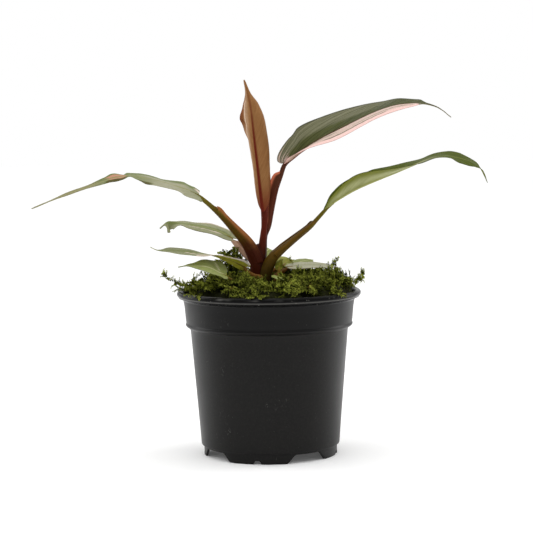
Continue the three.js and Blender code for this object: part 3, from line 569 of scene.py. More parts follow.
def blade_piece(name, leaf, finishes, node, colours):
    """A closed sheet over the blade's grid: every ring runs over the upper face from the right margin
    to the left and back under the lower one. colours gives the finish's layers from u and v, and
    takes the place of the plain ones."""
    long_leaf = knots_of(leaf["midrib"])[-1] > LONG_BLADE
    nu, nv = FINE_GRID if long_leaf else COARSE_GRID
    u = (np.linspace(0, 1, nu + 1) ** 1.1)[:, None]
    half = np.linspace(0, 1, nv + 1)[1:]
    half = half * (1.25 - 0.25 * half)
    v = np.concatenate([-half[::-1], [0], half])[None, :]
    u, v = np.broadcast_arrays(u, v)
    point, normal, across = blade_points(leaf, u, v)
    size = leaf["half_width"] / 18
    wave = leaf.get("wave", 0.5) * size * np.abs(v) ** 3 * np.sin(
        2 * np.pi * (leaf.get("waves", 4.0) * u + 0.23 * np.sign(v)) + leaf.get("phase", 0.0))
    between_veins = np.clip(4 * np.abs(v) * (1 - np.abs(v)), 0, 1)
    quilt = leaf.get("quilt", 0.07) * np.sin(2 * np.pi * QUILTS * u) * between_veins
    middle = point + normal * (wave + quilt)[..., None]
    rib = np.exp(-(across / (0.75 * size + 0.15)) ** 2)
    taper = np.clip(1.05 - u, 0, 1) ** 0.7
    thick = THICKNESS * (1 - 0.35 * np.abs(v))
    over = middle + normal * (thick / 2 - GROOVE * size * rib * taper)[..., None]
    under = middle - normal * (thick / 2 + RIDGE * size * rib * taper)[..., None]
    count = v.shape[1]
    ring = np.concatenate([over[:, ::-1], under], 1)
    ring_u = np.concatenate([u[:, ::-1], u], 1)
    ring_v = np.concatenate([v[:, ::-1], v], 1)
    quads = grid_quads(nu + 1, 2 * count, closed=True)[:, ::-1]
    column = np.tile(np.arange(2 * count), nu)
    k = np.arange(count - 1)
    last = nu * 2 * count
    cap = np.stack([k + 1, 2 * count - 2 - k, 2 * count - 1 - k, k], 1)
    caps = np.concatenate([cap, last + cap[:, ::-1]])
    finish_of = np.concatenate([np.where(column < count, 0, 1), np.ones(len(caps))])
    layers = {name: 0 * ring_u for name in ("pale", "painted_sheen", "red")}
    layers["edge"] = np.clip((np.abs(ring_v) - 0.955) / 0.03, 0, 1)
    layers.update(colours(ring_u, ring_v))
    layers["rib"] = np.concatenate([rib[:, ::-1], rib], 1) * np.concatenate([taper, taper], 1)
    pattern = np.stack([ring_u - leaf.get("sweep", 0.1) * np.abs(ring_v), (ring_v + 1) / 2], -1)
    return piece(name, ring, [quads, caps], finishes, [node], finish_of, pattern, layers)


# %% [markdown]
# ## The finish of a leaf
# A young leaf is waxy. Its green is never even: it is made of fine streaks that run out along the
# side veins, and in a variegated plant whole sectors of it are pink or cream. A painted image would
# fit one leaf only. This finish is a recipe for all of them: it reads the blade's own pattern map for
# the streaks, and five layers painted on the blade: how pale a place is, how much painted sheen greys
# it, how red it is, and where the midrib and the margin run. The streak noise roughens the edge of
# each sector, so that it ends along the veins in fine strokes.

# %% Leaf finish
def leaf_finish(name, deep, light, pale, painted_sheen, rib, red=None, edge=None, roughness=0.46, specular=0.02,
                streak=0.55, bare_streak=0.55):
    """Upper or under side of a leaf: deep and light greens streaked along the veins, a pale colour
    for the variegated sectors, a greyer one for the painted sheen, and the midrib's, the red flush's
    and the margin's colours. A small streak makes sharp streaks, and a small bare_streak keeps the
    painted sheen off the deep ones."""
    finish = Finish(name, roughness, specular)
    spread = finish.noise(finish.place((40, 2.2, 1), uv=True), 1.0, 4.0, 0.6, 0.3)
    thread = finish.noise(finish.place((210, 3.5, 1), uv=True, shift=(3, 1, 0)), 1.0, 3.0)
    cell = finish.noise(finish.place(), 1400.0, 2.0)
    patch = finish.noise(finish.place(), 75.0, 3.0)
    mixed = finish.math("ADD", finish.math("MULTIPLY", spread, 0.6), finish.math("MULTIPLY", thread, 0.4))
    green = finish.blend(finish.between(mixed, 0.5 - streak / 2, 0.5 + streak / 2), deep, light)
    green = finish.blend(finish.between(patch, 0.35, 0.75, 0, 0.35), green, light)
    green = finish.blend(finish.layer("red"), green, red or deep)
    # Painted sheen: where the sheen layer is high the green is greyed towards the sheen colour, less on the
    # deep streaks; the pale sectors are greyed the same way below.
    sheen_amount = finish.math("MULTIPLY", finish.layer("painted_sheen"), finish.between(mixed, 0.25, 0.7, bare_streak, 1.0))
    green = finish.blend(sheen_amount, green, painted_sheen)
    strokes = finish.math("MULTIPLY", finish.math("SUBTRACT", mixed, 0.5), 1.7)
    sector = finish.math("ADD", finish.layer("pale"), strokes)
    grey = finish.math("MULTIPLY", finish.layer("painted_sheen"), finish.between(thread, 0.3, 0.7, 0.4, 0.9))
    colour = finish.blend(finish.between(sector, 0.4, 0.66), green, finish.blend(grey, pale, painted_sheen))
    colour = finish.blend(finish.between(finish.layer("rib"), 0.1, 0.6), colour, rib)
    colour = finish.blend(finish.math("MULTIPLY", finish.layer("edge"), 0.8), colour, edge or deep)
    colour = finish.blend(finish.between(cell, 0.3, 0.7, 0.0, 0.12), colour, deep)
    finish.set("Base Color", colour)
    finish.set("Roughness", finish.between(patch, 0.25, 0.75, roughness - 0.06, roughness + 0.08))
    finish.bump(finish.math("ADD", thread, finish.math("MULTIPLY", cell, 0.5)), 0.09, 0.7)
    return finish.material


def window(x, low, high, soft):
    """1 between low and high and 0 beyond them, with S-shaped edges as wide as soft."""
    rise, fall = np.clip((x - low) / soft + 0.5, 0, 1), np.clip((high - x) / soft + 0.5, 0, 1)
    return rise**2 * (3 - 2 * rise) * fall**2 * (3 - 2 * fall)


# %% [markdown]
# ## The stalk and its sheath
# A stalk is a fleshy tube, rounded below and a little hollow above, wider where it clasps the stem.
# Its lower part is a sheath: the stalk's two upper edges grow out into thin fins that once wrapped
# the next leaf, and they end in small free tips. A curve with a round bevel would give an even pipe.
# The tube is swept along the stalk's line in numpy, because its radius and its hollow change on the
# way. The sheath is a second sweep on the same line, with a U for its section, so it hugs the stalk
# everywhere.

# %% Stalk surface
PATTERN_STEP = 0.01  # of the pattern map, for each millimetre of stalk


def sweep_along(stations, at, up=(0, 0.6, 1)):
    """Rows of the stations and their frames at each distance along the line."""
    stations = np.asarray(stations, float)
    knots = knots_of(stations)
    return smooth(knots, stations, at), frame_of(knots, stations, at, 0.0, unit(np.asarray(up, float)))


def stalk_piece(name, stations, finish, node, steps, sides=20, channel=0.16):
    """A tube: at each place along the line, sides points stand at the radius from it, drawn in by the
    channel where they face up. Both ends close in a dome of three smaller rings."""
    total = knots_of(stations)[-1]
    dome = np.array([0.25, 0.6, 0.88])
    at = np.concatenate([np.zeros(3), np.linspace(0, total, steps + 1), np.full(3, total)])
    size = np.concatenate([dome, np.ones(steps + 1), dome[::-1]])
    row, (along, right, upper) = sweep_along(stations, at)
    past = np.concatenate([-(1 - dome**2) ** 0.5, np.zeros(steps + 1), ((1 - dome**2) ** 0.5)[::-1]])
    centre = row[:, :3] + along * (past * row[:, 3])[:, None]
    turn = np.linspace(0, 2 * np.pi, sides + 1)[:-1]
    dip = 1 - channel * np.exp(-((turn - np.pi / 2) / 0.6) ** 2)
    radius = (row[:, 3] * size)[:, None] * dip
    points = (centre[:, None] + right[:, None] * (np.cos(turn) * radius)[..., None]
              + upper[:, None] * (np.sin(turn) * radius)[..., None])
    foot, tip = centre[0] - along[0] * row[0, 3] * 0.03, centre[-1] + along[-1] * row[-1, 3] * 0.03
    points, faces = closed_body(points, foot, tip, flip=True)
    uv = np.stack([np.repeat(at, sides) * PATTERN_STEP, np.tile(np.abs(turn / np.pi - 1), len(at))], 1)
    uv = np.concatenate([uv, [[0, 0], [total * PATTERN_STEP, 0]]])
    layers = {"length": [*np.repeat(at / total, sides), 0, 1], "fin": np.zeros(len(points))}
    return piece(name, points, faces, [finish], [node], uv=uv, layers=layers)


# %% Sheath surface
def sheath_piece(name, stations, sheath, finish, node):
    """A U-shaped sheet round the stalk's upper half. Its section runs from the left fin's edge down
    the left flank, under the stalk's top and up to the right fin's edge. A sheath is given by the
    shares of the stalk where it starts and ends, the height of its fins from one to the other, how
    far they lean out, and the share of each fin that has the colour of its edge. The fins reach
    forward at the end of the sheath in a free tip."""
    start, end, fins, lean, edge = sheath
    total = knots_of(stations)[-1]
    share = np.linspace(0, 1, 61)
    row, (along, right, upper) = sweep_along(stations, total * (start + (end - start) * share), (0, 0, 1))
    radius = row[:, 3][:, None]
    p = np.linspace(-1, 1, 33)[None, :]
    q = np.abs(p)
    rise = np.clip((q - 0.4) / 0.6, 0, 1)
    fin = along_table(fins, share)[:, None]
    across = np.sign(p) * radius * (np.sin(np.clip(q / 0.4, 0, 1) * np.pi / 2) * 1.03 + lean * rise**1.5)
    height = -0.35 * radius * np.cos(np.clip(q / 0.4, 0, 1) * np.pi / 2) + (0.75 * radius + fin) * rise
    height = height + 0.12 * np.sin(9 * share[:, None] + 2 * np.sign(p)) * rise**2
    forth = 2.2 * rise**2 * share[:, None] ** 8
    middle = (row[:, None, :3] + right[:, None] * across[..., None] + upper[:, None] * height[..., None]
              + along[:, None] * forth[..., None])
    step = np.gradient(middle, axis=1)
    outward = unit(np.cross(np.broadcast_to(along[:, None], step.shape), step))
    thick = (0.34 - 0.24 * rise)[..., None]
    over, under = middle + outward * thick, middle - outward * thick
    ring = np.concatenate([over[:, ::-1], under], 1)
    count = ring.shape[1]
    quads = grid_quads(len(share), count, closed=True)
    k = np.arange(count // 2 - 1)
    last = (len(share) - 1) * count
    cap = np.stack([k, count - 1 - k, count - 2 - k, k + 1], 1)
    ring_q = np.concatenate([q[:, ::-1], q], 1) + 0 * share[:, None]
    length = (start + (end - start) * share)[:, None] + 0 * ring_q
    uv = np.stack([length * total * PATTERN_STEP, ring_q], -1)
    layers = {"length": length, "fin": window(ring_q, 1 - edge, 2, edge)}
    return piece(name, ring, [quads, cap, last + cap[:, ::-1]], [finish], [node], uv=uv,
                 layers=layers)


# %% [markdown]
# ## The skin of a stalk
# The foot of a stalk is dark red, and it turns to olive, brown or a lighter red further up, with fine
# dark dashes along its fibres. The thin edges of the sheath's fins are paler, where light comes
# through. The colour changes at a height above the ground, not at a share of the stalk's length, so
# the big stalks change where they leave the clump. A little noise keeps the change from being a line.

# %% Stalk finish
def stalk_finish(name, base, middle, tip, fin, change=(0.118, 0.131), roughness=0.42, specular=0.06):
    """A stalk's skin: the base colour up to the heights, in metres, between which it changes, a
    middle and a tip colour further on, another on the edges of the sheath's fins, and fine dark
    dashes along its fibres."""
    finish = Finish(name, roughness, specular)
    height = finish.add("SeparateXYZ", Vector=finish.place()).outputs["Z"]
    mottle = finish.noise(finish.place(), 220.0, 3.0)
    length = finish.layer("length")
    fibre = finish.noise(finish.place((14, 16.0, 1), uv=True), 3.0, 4.0, 0.6)
    dash = finish.noise(finish.place((60, 40.0, 1), uv=True, shift=(2, 0, 0)), 1.0, 2.0)
    shifted = finish.math("ADD", length, finish.math("MULTIPLY", finish.math("SUBTRACT", fibre, 0.5), 0.3))
    above = finish.between(finish.math("ADD", height, finish.math("MULTIPLY", mottle, 0.012)),
                           change[0] + 0.006, change[1] + 0.006)
    colour = finish.blend(above, base, middle)
    colour = finish.blend(finish.between(shifted, 0.6, 0.95), colour, tip)
    colour = finish.blend(finish.math("MULTIPLY", finish.layer("fin"), above), colour, fin)
    colour = finish.blend(finish.between(dash, 0.5, 0.75, 0, 0.45), colour, base)
    finish.set("Base Color", colour)
    finish.set("Roughness", finish.between(fibre, 0.3, 0.7, roughness - 0.07, roughness + 0.08))
    finish.bump(finish.math("ADD", fibre, finish.math("MULTIPLY", dash, 0.5)), 0.12, 0.6)
    return finish.material


# %% [markdown]
# ## The leaves' measures
# Thirteen leaves stand round one short stem. Each has a stalk, a row of stations with x, y, z and the
# radius, and a midrib that starts where the stalk ends. Roll tips the blade about its midrib, fold
# and curl shape its two halves, and reach widens and narrows it along its length. All the angles are
# degrees. veins holds the angles of the side veins at the base and at the tip, and wave, waves and
# phase say how far the margin waves, how often, and from where it starts.

# %% Leaf tables
STEM_LINE = [(-4, 0, 90, 5.3), (-4.6, 0, 104, 4.6), (-5.2, -0.4, 111, 4.3), (-5.2, -0.5, 117, 3.7),
             (-5.8, -0.6, 121.4, 2.4)]
LEAVES = {
    "left": dict(
        stalk=[(-6.4, -0.8, 104, 3.6), (-7.2, -1.6, 111, 3.9), (-9.4, -2.8, 117.5, 3.4),
               (-13.5, -5, 125, 2.8), (-20, -8, 133, 2.3), (-26.5, -11, 140.5, 1.8),
               (-33, -14, 147, 1.4), (-38.6, -15.8, 151.9, 1.2)],
        sheath=(0.14, 0.8, [(0, 0.2), (0.2, 1.3), (0.5, 1.2), (0.85, 1.0), (0.95, 1.5), (1, 0.8)], 0.1, 0.4),
        midrib=[(-39.5, -16, 153), (-44.5, -18, 156), (-51.5, -20, 158.5), (-58.5, -23, 161),
                (-67, -26, 163.5), (-73, -28, 164.5), (-77.5, -30, 165.5), (-80, -31, 165.5),
                (-83, -32, 165), (-87.5, -33, 164.5), (-92, -34, 163), (-99, -36, 160.5),
                (-108.5, -38, 157.5), (-118, -39, 154), (-133, -40, 148)],
        roll=[-18, -15, -11, -8, -8, -8, -6, -3, -14, -19, -15, -12, -12, -12, -8],
        fold_left=[-5, -5, -5, -5, -7, -7, -4, 0, 0, 0, 0, 0, 0, 0, 0],
        half_width=17, waves=5, phase=1.0, wave=0.15, veins=(104, 58),
        reach=[(0, 0.34), (0.015, 0.56), (0.05, 0.76), (0.12, 0.87), (0.25, 0.9), (0.31, 0.84), (0.37, 0.58),
               (0.42, 0.38), (0.47, 0.46), (0.53, 0.34), (0.6, 0.26), (0.7, 0.22), (0.85, 0.14), (1, 0.02)],
        reach_right=[(0, 0.84), (0.015, 0.96), (0.05, 1.0), (0.12, 1.02), (0.25, 1.04), (0.31, 0.92),
                     (0.37, 0.6), (0.42, 0.38), (0.47, 0.46), (0.53, 0.34), (0.6, 0.26), (0.7, 0.22),
                     (0.85, 0.14), (1, 0.02)]),
    "new": dict(
        stalk=[(-5.6, -0.6, 104, 4.2), (-5.2, -0.6, 113, 3.5), (-3.8, -0.6, 120, 2.6),
               (-3.2, -0.6, 125, 2.2), (-2.7, -0.6, 129.4, 1.95), (-2.2, -0.6, 134, 1.8),
               (-2, -0.9, 142, 2.1), (-2.4, -1.2, 150, 2.4), (-3.6, -1, 164, 1.6)],
        midrib=[(-3, -4, 142.5), (-4, -4, 152.5), (-5.4, -4, 167), (-6.6, -3, 178.5), (-7.8, -2, 190),
                (-8.2, -1.6, 194), (-8.7, -1, 199), (-9.8, 1, 206.5), (-11.2, 3, 213), (-13.1, 5, 219.2)],
        up=(0, 1, 0), roll=[-20, -20, -20, -20, -18, -17, -15, -10, -5, 0], fold=5,
        curl_left=[160, 152, 134, 118, 114, 114, 119, 132, 118, 50],
        curl_right=[150, 150, 150, 130, 130, 150, 150, 130, 100, 40],
        flare_right=[0, 0, 0, -30, -95, -150, -190, -80, 0, 0],
        half_width=17, veins=(95, 40), waves=3, wave=0.15, quilt=0.04,
        reach=[(0, 0.06), (0.03, 0.4), (0.07, 0.68), (0.15, 0.92), (0.3, 1.05), (0.45, 1.1), (0.6, 1.05),
               (0.7, 0.9), (0.78, 0.6), (0.86, 0.3), (0.93, 0.12), (1, 0.02)]),
    "half_moon": dict(
        stalk=[(-3.6, 0.5, 104, 3.2), (-3.4, 0.6, 114, 2.4), (-2.6, 0.9, 122, 1.9), (-1.9, 1.2, 128.3, 1.6),
               (0, 1.5, 134, 1.9), (1.6, 1.6, 141.5, 1.8), (3.3, 1.2, 148.9, 1.6), (5, 0.3, 155.6, 1.45),
               (7.3, -1, 162.2, 1.4), (9.6, -1.9, 168.9, 1.35)],
        sheath=(0.42, 0.92, [(0, 0.1), (0.3, 1.0), (0.6, 2.6), (0.85, 3.2), (0.95, 2.4), (1, -0.4)],
                0.4, 0.22),
        midrib=[(11, -2, 171), (14.5, -4, 173.5), (19.5, -7, 177.5), (30.5, -12, 184.5),
                (45, -18, 192), (60.5, -25, 199.5), (72.5, -30, 203.5), (82, -33, 204.5),
                (88.5, -35, 204.5), (96.5, -37, 202), (103.5, -39, 196.5)],
        roll=[31, 31, 31, 27, 25, 20, 17, 15, 12, 10, 8],
        fold=[22, 22, 21, 13, 5, 0, 0, 0, 0, 0, 0],
        half_width=22, waves=4, phase=0.6, wave=0.12, sweep=0.45,
        reach=[(0, 0.2), (0.01, 0.42), (0.03, 0.62), (0.07, 0.78), (0.13, 0.92), (0.2, 1.04), (0.3, 1.13),
               (0.4, 1.12), (0.5, 0.96), (0.58, 0.78), (0.65, 0.62), (0.71, 0.52), (0.76, 0.43), (0.81, 0.2),
               (0.85, 0.06), (0.93, 0.03), (1, 0.012)],
        reach_right=[(0, 0.08), (0.04, 0.25), (0.12, 0.66), (0.25, 1.1), (0.4, 1.12), (0.55, 0.92),
                     (0.7, 0.56), (0.76, 0.42), (0.82, 0.14), (0.87, 0.045), (0.93, 0.03), (1, 0.012)]),
    "right": dict(
        stalk=[(-2.6, -2.6, 103, 3.8), (-0.6, -2.8, 110, 3.7), (2.4, -2.3, 115.5, 3.2), (7, 0, 119.5, 2.6),
               (13, 3.5, 124, 2.1), (19, 7, 128.5, 1.9), (25, 10, 133, 1.6), (29.5, 13, 137.5, 1.3),
               (34.2, 14.8, 142.4, 1.1)],
        sheath=(0.25, 0.8, [(0, 0.0), (0.3, 0.5), (0.6, 0.5), (0.88, 0.5), (0.96, 0.5), (1, -0.9)], 0.0, 0.3),
        midrib=[(35, 15, 143.5), (39, 16, 146.5), (45, 18, 150), (51.5, 20, 153.5), (59.5, 22, 157),
                (68.5, 24, 160.5), (78, 27, 164), (88, 29, 168), (98.5, 31, 172), (107, 33, 173),
                (113.5, 34, 172), (119, 35, 170.5), (125, 36, 168), (129.5, 36, 164), (133, 37, 156.5)],
        roll=[0, 0, 0, 0, 0, 0, 0, 0, -1, 5, 13, 16, 12, 5, 5],
        fold_left=[8, 12, 16, 17, 15, 14, 9, 3, 0, 0, 0, 0, 0, 0, 0],
        fold_right=[40, 42, 42, 38, 30, 20, 12, 5, 0, 0, 0, 0, 0, 0, 0],
        half_width=18, waves=5, phase=2.2, wave=0.2,
        reach=[(0, 0.12), (0.04, 0.32), (0.12, 0.72), (0.2, 1), (0.4, 1.1), (0.55, 1.05),
               (0.68, 1.0), (0.76, 0.86), (0.82, 0.62), (0.88, 0.3), (0.92, 0.09), (0.96, 0.04), (1, 0.015)]),
    "upper_left": dict(
        stalk=[(-5, 3, 106, 2), (-9.5, 8, 112.5, 1.8), (-14.5, 12, 117, 1.5), (-18.5, 16, 121, 1.2),
               (-21.6, 19.6, 124.8, 1)],
        sheath=(0.0, 0.92, [(0, 2.6), (0.4, 2.8), (0.7, 2.3), (0.9, 1.6), (1, -0.6)], 0.3, 0.9),
        midrib=[(-22, 20, 126), (-27.5, 23, 129), (-36, 27, 131.5), (-45, 31, 133), (-52, 34, 134),
                (-57.5, 36, 135), (-61, 37, 135), (-65.5, 38, 131)],
        roll=[-12, -12, -11, -10, -8, 0, 0, 0], fold_left=[0, 0, 0, 0, 0, -80, -70, -20],
        half_width=8, waves=3, phase=0.4, wave=0.7,
        reach=[(0, 0.42), (0.05, 0.7), (0.12, 0.92), (0.25, 1.12), (0.4, 1.15), (0.55, 1),
               (0.7, 0.72), (0.75, 0.66), (0.79, 1.05), (0.83, 1.3), (0.87, 0.6), (0.93, 0.12), (1, 0.03)],
        reach_right=[(0, 0.42), (0.05, 0.7), (0.12, 0.92), (0.25, 1.12), (0.4, 1.15), (0.55, 1), (0.7, 0.8),
                     (0.8, 0.7), (0.87, 0.45), (0.93, 0.12), (1, 0.03)]),
    "mid_left": dict(
        stalk=[(-4, -3, 102, 1.9), (-5, -9, 104.5, 1.7), (-8.5, -13, 106, 1.4), (-12, -15.3, 108.5, 1.1),
               (-13.6, -15.9, 110.7, 0.9)],
        midrib=[(-14, -16, 112), (-18.5, -18, 114.5), (-24.5, -21, 117), (-30.5, -24, 119),
                (-39, -28, 120.5), (-47.5, -32, 122), (-55.5, -36, 123), (-62.5, -39, 123.5),
                (-66.5, -41, 125.5)],
        roll=[28, 20, 14, 5, -8, -11, -10, -5, 0], half_width=10, waves=4, phase=1.7, wave=0.2,
        reach=[(0, 0.34), (0.04, 0.56), (0.1, 0.56), (0.2, 0.46), (0.3, 0.5), (0.42, 0.85), (0.55, 1.0),
               (0.7, 0.8), (0.82, 0.45), (0.92, 0.14), (1, 0.02)]),
    "lower_left": dict(
        stalk=[(-6, -5, 98, 1.6), (-14, -14, 101.5, 1.3), (-20, -21, 104, 1.1), (-24, -24.6, 106.2, 0.9)],
        midrib=[(-24.5, -25, 107.4), (-28.5, -27, 109.5), (-32.5, -30, 112), (-36.5, -33, 113.5),
                (-41.5, -36, 114), (-46.5, -39, 114.5), (-51, -41, 114)],
        roll=[-44, -42, -36, -28, -20, -12, -5], fold_left=[22, 18, 10, 2, 0, 0, 0],
        half_width=10, waves=3, wave=0.2, veins=(104, 62),
        reach=[(0, 0.3), (0.05, 0.62), (0.15, 0.9), (0.3, 0.95), (0.45, 0.78), (0.6, 0.52),
               (0.75, 0.28), (0.88, 0.1), (1, 0.03)],
        reach_right=[(0, 0.5), (0.03, 0.86), (0.1, 1.0), (0.2, 0.94), (0.32, 0.82), (0.45, 0.66), (0.6, 0.46),
                     (0.75, 0.28), (0.88, 0.1), (1, 0.03)]),
    "low_right": dict(
        stalk=[(-1, 1, 99, 1.6), (5, 1.5, 104.5, 1.3), (9, 1.8, 107.5, 1.1), (11.9, 2, 108.9, 0.9)],
        midrib=[(12.5, 2, 109.8), (18.5, 4, 110.3), (26.5, 7, 110.3), (33.5, 10, 109.8), (41, 12, 108.3)],
        roll=11, half_width=6.5, waves=3, phase=0.9, wave=0.3),
    "back_right": dict(
        stalk=[(-1, 4, 100, 1.5), (7, 8, 106.5, 1.2), (12, 11.5, 108.6, 1), (16.4, 14.6, 109.8, 0.8)],
        midrib=[(17, 15, 110.9), (20, 19, 111.4), (23, 22, 111.6), (27, 25, 111.8)],
        roll=12, half_width=4.5, wave=0.2),
    "dark_rimmed": dict(
        stalk=[(-3, 5, 102, 1.6), (1, 9, 106, 1.3), (5, 11.5, 108, 1.1), (8.4, 13.4, 108.7, 0.9)],
        midrib=[(9, 14, 110), (11, 20, 111.8), (14, 26, 112), (17, 30, 110.6)],
        roll=14, half_width=8, wave=0.3),
    "curled": dict(
        stalk=[(2, -4.5, 100, 1.7), (5, -5.5, 103.5, 1.6), (6.2, -5.1, 106.5, 1.4), (6.2, -4.9, 108.6, 1.2)],
        midrib=[(6.2, -4.8, 109.4), (6.4, -4.4, 111.3), (7, -3.8, 113.1), (8.4, -3, 114.7)],
        roll=-12, curl=20, half_width=3.2, wave=0.3),
    "front": dict(
        stalk=[(2, -6, 98, 1.4), (8, -13, 100.4, 1.2), (10.5, -17, 102, 1), (10.8, -19.4, 103, 0.8)],
        midrib=[(10.6, -20, 104.2), (7.8, -22, 105.1), (4.8, -24, 105.8), (1.4, -26, 106.4)],
        roll=-16, half_width=4, phase=2),
    "behind": dict(
        stalk=[(-3.6, 6.8, 104, 1.5), (-4.2, 8.8, 109, 1.3), (-4.4, 9.8, 112.9, 1)],
        midrib=[(-4, 10.4, 114.2), (-1.5, 18, 117.5), (1, 25, 118.5), (2, 32, 115.5)],
        roll=25, half_width=5, wave=0.6),
}
print("leaves:", len(LEAVES), "with a sheath:", sum("sheath" in leaf for leaf in LEAVES.values()))

# %% [markdown]
# ## What each leaf is painted like
# The plant is a chimera: some of its cells can't make green, and they grow on in sectors. So each
# leaf has its own pattern. One is dark green on one side of the midrib and pink on the other, others
# are sage green with a cream streak, and the newest is copper, because young leaves are red before
# they are green. The pattern of a leaf is a formula in u and v.

# %% Leaf patterns
def plain(u, v):
    """Painted sheen over most of the blade but the midrib."""
    return {"painted_sheen": 0.35 + 0.35 * window(np.abs(v), 0.25, 2, 0.4)}


def bare(u, v):
    """A small leaf with little painted sheen."""
    return {"painted_sheen": 0.1 + 0.2 * np.abs(v)}


def paint_left(u, v):
    """A small pink-white patch at the base of the far half, and a coppery pink one across the midrib
    past the twist. Two dark patches of painted shade lie on the near half, one beside the twist and
    one nearer the base along the margin; they go on the margin's layer and keep the painted sheen off."""
    base = window(u, -1, 0.03, 0.08) * window(v, 0.2, 0.9, 0.5)
    twist = window(u, 0.435, 0.54, 0.025) * window(v, -0.45, 0.7, 0.15)
    shade = (window(u, 0.43, 0.55, 0.03) * window(v, -2, -0.42, 0.15)
             + window(u, 0.265, 0.345, 0.03) * window(v, -2, -0.66, 0.15))
    return {"pale": 0.75 * base, "red": np.maximum(0.2 * window(u, 0.6, 2, 0.1), twist),
            "edge": shade, "painted_sheen": (0.35 + 0.6 * window(u, 0.03, 0.3, 0.15)) * (1 - shade)
            * (1 - 0.5 * base) * (1 - twist) * (1 - 0.8 * window(v, 0.6, 2, 0.3))}


def paint_new(u, v):
    """Deep red at the base and copper above, with painted sheen on the outer half, a light strip along
    it on the side that flares out, and a pale margin low on the other side."""
    strip = window(v, 0.6, 0.74, 0.07) * window(u, 0.45, 0.8, 0.1)
    margin = window(v, -2, -0.93, 0.05) * window(u, 0.02, 0.6, 0.1)
    return {"red": window(u, -1, 0.1, 0.3) + 0.5 * window(v, 0.8, 2, 0.1) * window(u, 0.5, 0.9, 0.1),
            "pale": np.maximum(strip, margin), "painted_sheen": 0.3 * strip + 0.5 * window(v, 0.3, 0.7, 0.3)
            + 0.4 * window(v, 0.3, 2, 0.2) * window(u, 0.15, 0.5, 0.12)}


def paint_half_moon(u, v):
    """Dark green on the left of the midrib, with painted sheen further out, and speckled with pale at
    the base. On the right it is pink, greyed by painted sheen near the midrib and brighter along the
    margin, with thin green lines that run lengthwise, and green again at the tip."""
    lines = (window(v, 0.56, 0.64, 0.06) * window(u, 0.24, 0.62, 0.08)
             + window(v, 0.2, 0.27, 0.05) * window(u, 0.1, 0.34, 0.08)
             + window(v, 0.36, 0.4, 0.04) * window(u, 0.4, 0.74, 0.08))
    half = window(v, 0.03, 2, 0.05) * (1 - np.clip(lines, 0, 0.9)) * window(u, -1, 0.8, 0.08)
    speckle = 0.46 * window(u, -1, 0.07, 0.1) * window(v, -2, -0.1, 0.2)
    sheen_amount = 0.68 * window(v, -2, -0.42, 0.2) * window(u, -1, 0.5, 0.25) + 0.8 * window(v, 0.03, 0.62, 0.3)
    return {"pale": np.maximum(half, speckle), "painted_sheen": 0.06 + 0.85 * sheen_amount,
            "edge": window(v, -2, -0.96, 0.02)}


def paint_right(u, v):
    """Green, with painted sheen on the right half near the midrib from the base to past the middle,
    and a few faint pale strokes."""
    strokes = sum(0.4 * np.exp(-((u - c) / w) ** 2) for c, w in ((0.31, 0.006), (0.47, 0.004), (0.66, 0.008)))
    return {"pale": strokes * window(np.abs(v), 0.3, 2, 0.2),
            "painted_sheen": 0.9 * window(v, 0.1, 0.62, 0.5) * window(u, 0.02, 0.58, 0.15)}


def paint_streaked(u, v):
    """A pale streak that runs along one side of the midrib, and a pink-white margin on the same
    side near the base."""
    streak = window(v, -0.5, -0.2, 0.14) * window(u, 0.08, 0.6, 0.15)
    margin = window(v, 0.86, 2, 0.1) * window(u, -1, 0.45, 0.2)
    return {"pale": np.maximum(0.52 * streak, margin), "painted_sheen": 0.2 + 0.45 * window(np.abs(v), 0.3, 2, 0.4)}


def paint_rimmed(u, v):
    """A pale streak along the midrib and a pink-white margin at the left of the base. The rest of
    the margin has no line of its own."""
    streak = window(v, -0.5, -0.2, 0.14) * window(u, 0.3, 0.65, 0.1)
    margin = window(v, -2, -0.7, 0.1) * window(u, 0.02, 0.5, 0.08)
    return {"pale": np.maximum(0.6 * streak, margin), "edge": 0 * u,
            "painted_sheen": (0.15 + 0.4 * window(np.abs(v), 0.3, 2, 0.4)) * window(u, 0.3, 2, 0.1)}


def paint_wedge(u, v):
    """A cream wedge between two side veins near the base, and a pale streak beyond it."""
    wedge = window(u, 0.1, 0.16, 0.08) * window(v, 0.05, 0.9, 0.3)
    streak = 0.6 * window(u, 0.15, 0.5, 0.1) * window(v, 0.0, 0.1, 0.1)
    return {"pale": np.maximum(0.72 * wedge, streak), "painted_sheen": 0.5 + 0.3 * np.abs(v)}


# %% [markdown]
# The two sides of a blade differ: the upper one is deeper and waxier, and the under one is duller and
# shows its veins. So most leaves have a pair of finishes, and small leaves of one age share a pair.
# Each call below gives the deep and light colours, then those of the pale sectors, the painted sheen
# and the midrib.

# %% Leaf finishes
PINKISH = paint(226, 205, 192)
SAGE = leaf_finish("sage_face", paint(72, 86, 32), paint(116, 128, 66), PINKISH, paint(168, 164, 140),
                   paint(142, 142, 92), red=paint(186, 138, 112), edge=paint(74, 60, 20))
SAGE_UNDER = leaf_finish("sage_under", paint(172, 168, 46), paint(196, 190, 78), paint(246, 238, 222),
                         paint(136, 134, 62), paint(150, 140, 74), edge=PINKISH, roughness=0.48)
GREEN = leaf_finish("green_face", paint(48, 59, 6), paint(82, 92, 16), paint(206, 206, 160),
                    paint(172, 170, 134), paint(140, 146, 72), edge=paint(46, 50, 16), roughness=0.42,
                    specular=0.008)
FRESH = leaf_finish("fresh_face", paint(98, 112, 42), paint(140, 148, 72), paint(222, 218, 184),
                    paint(156, 162, 114), paint(192, 192, 148), edge=paint(56, 62, 18))
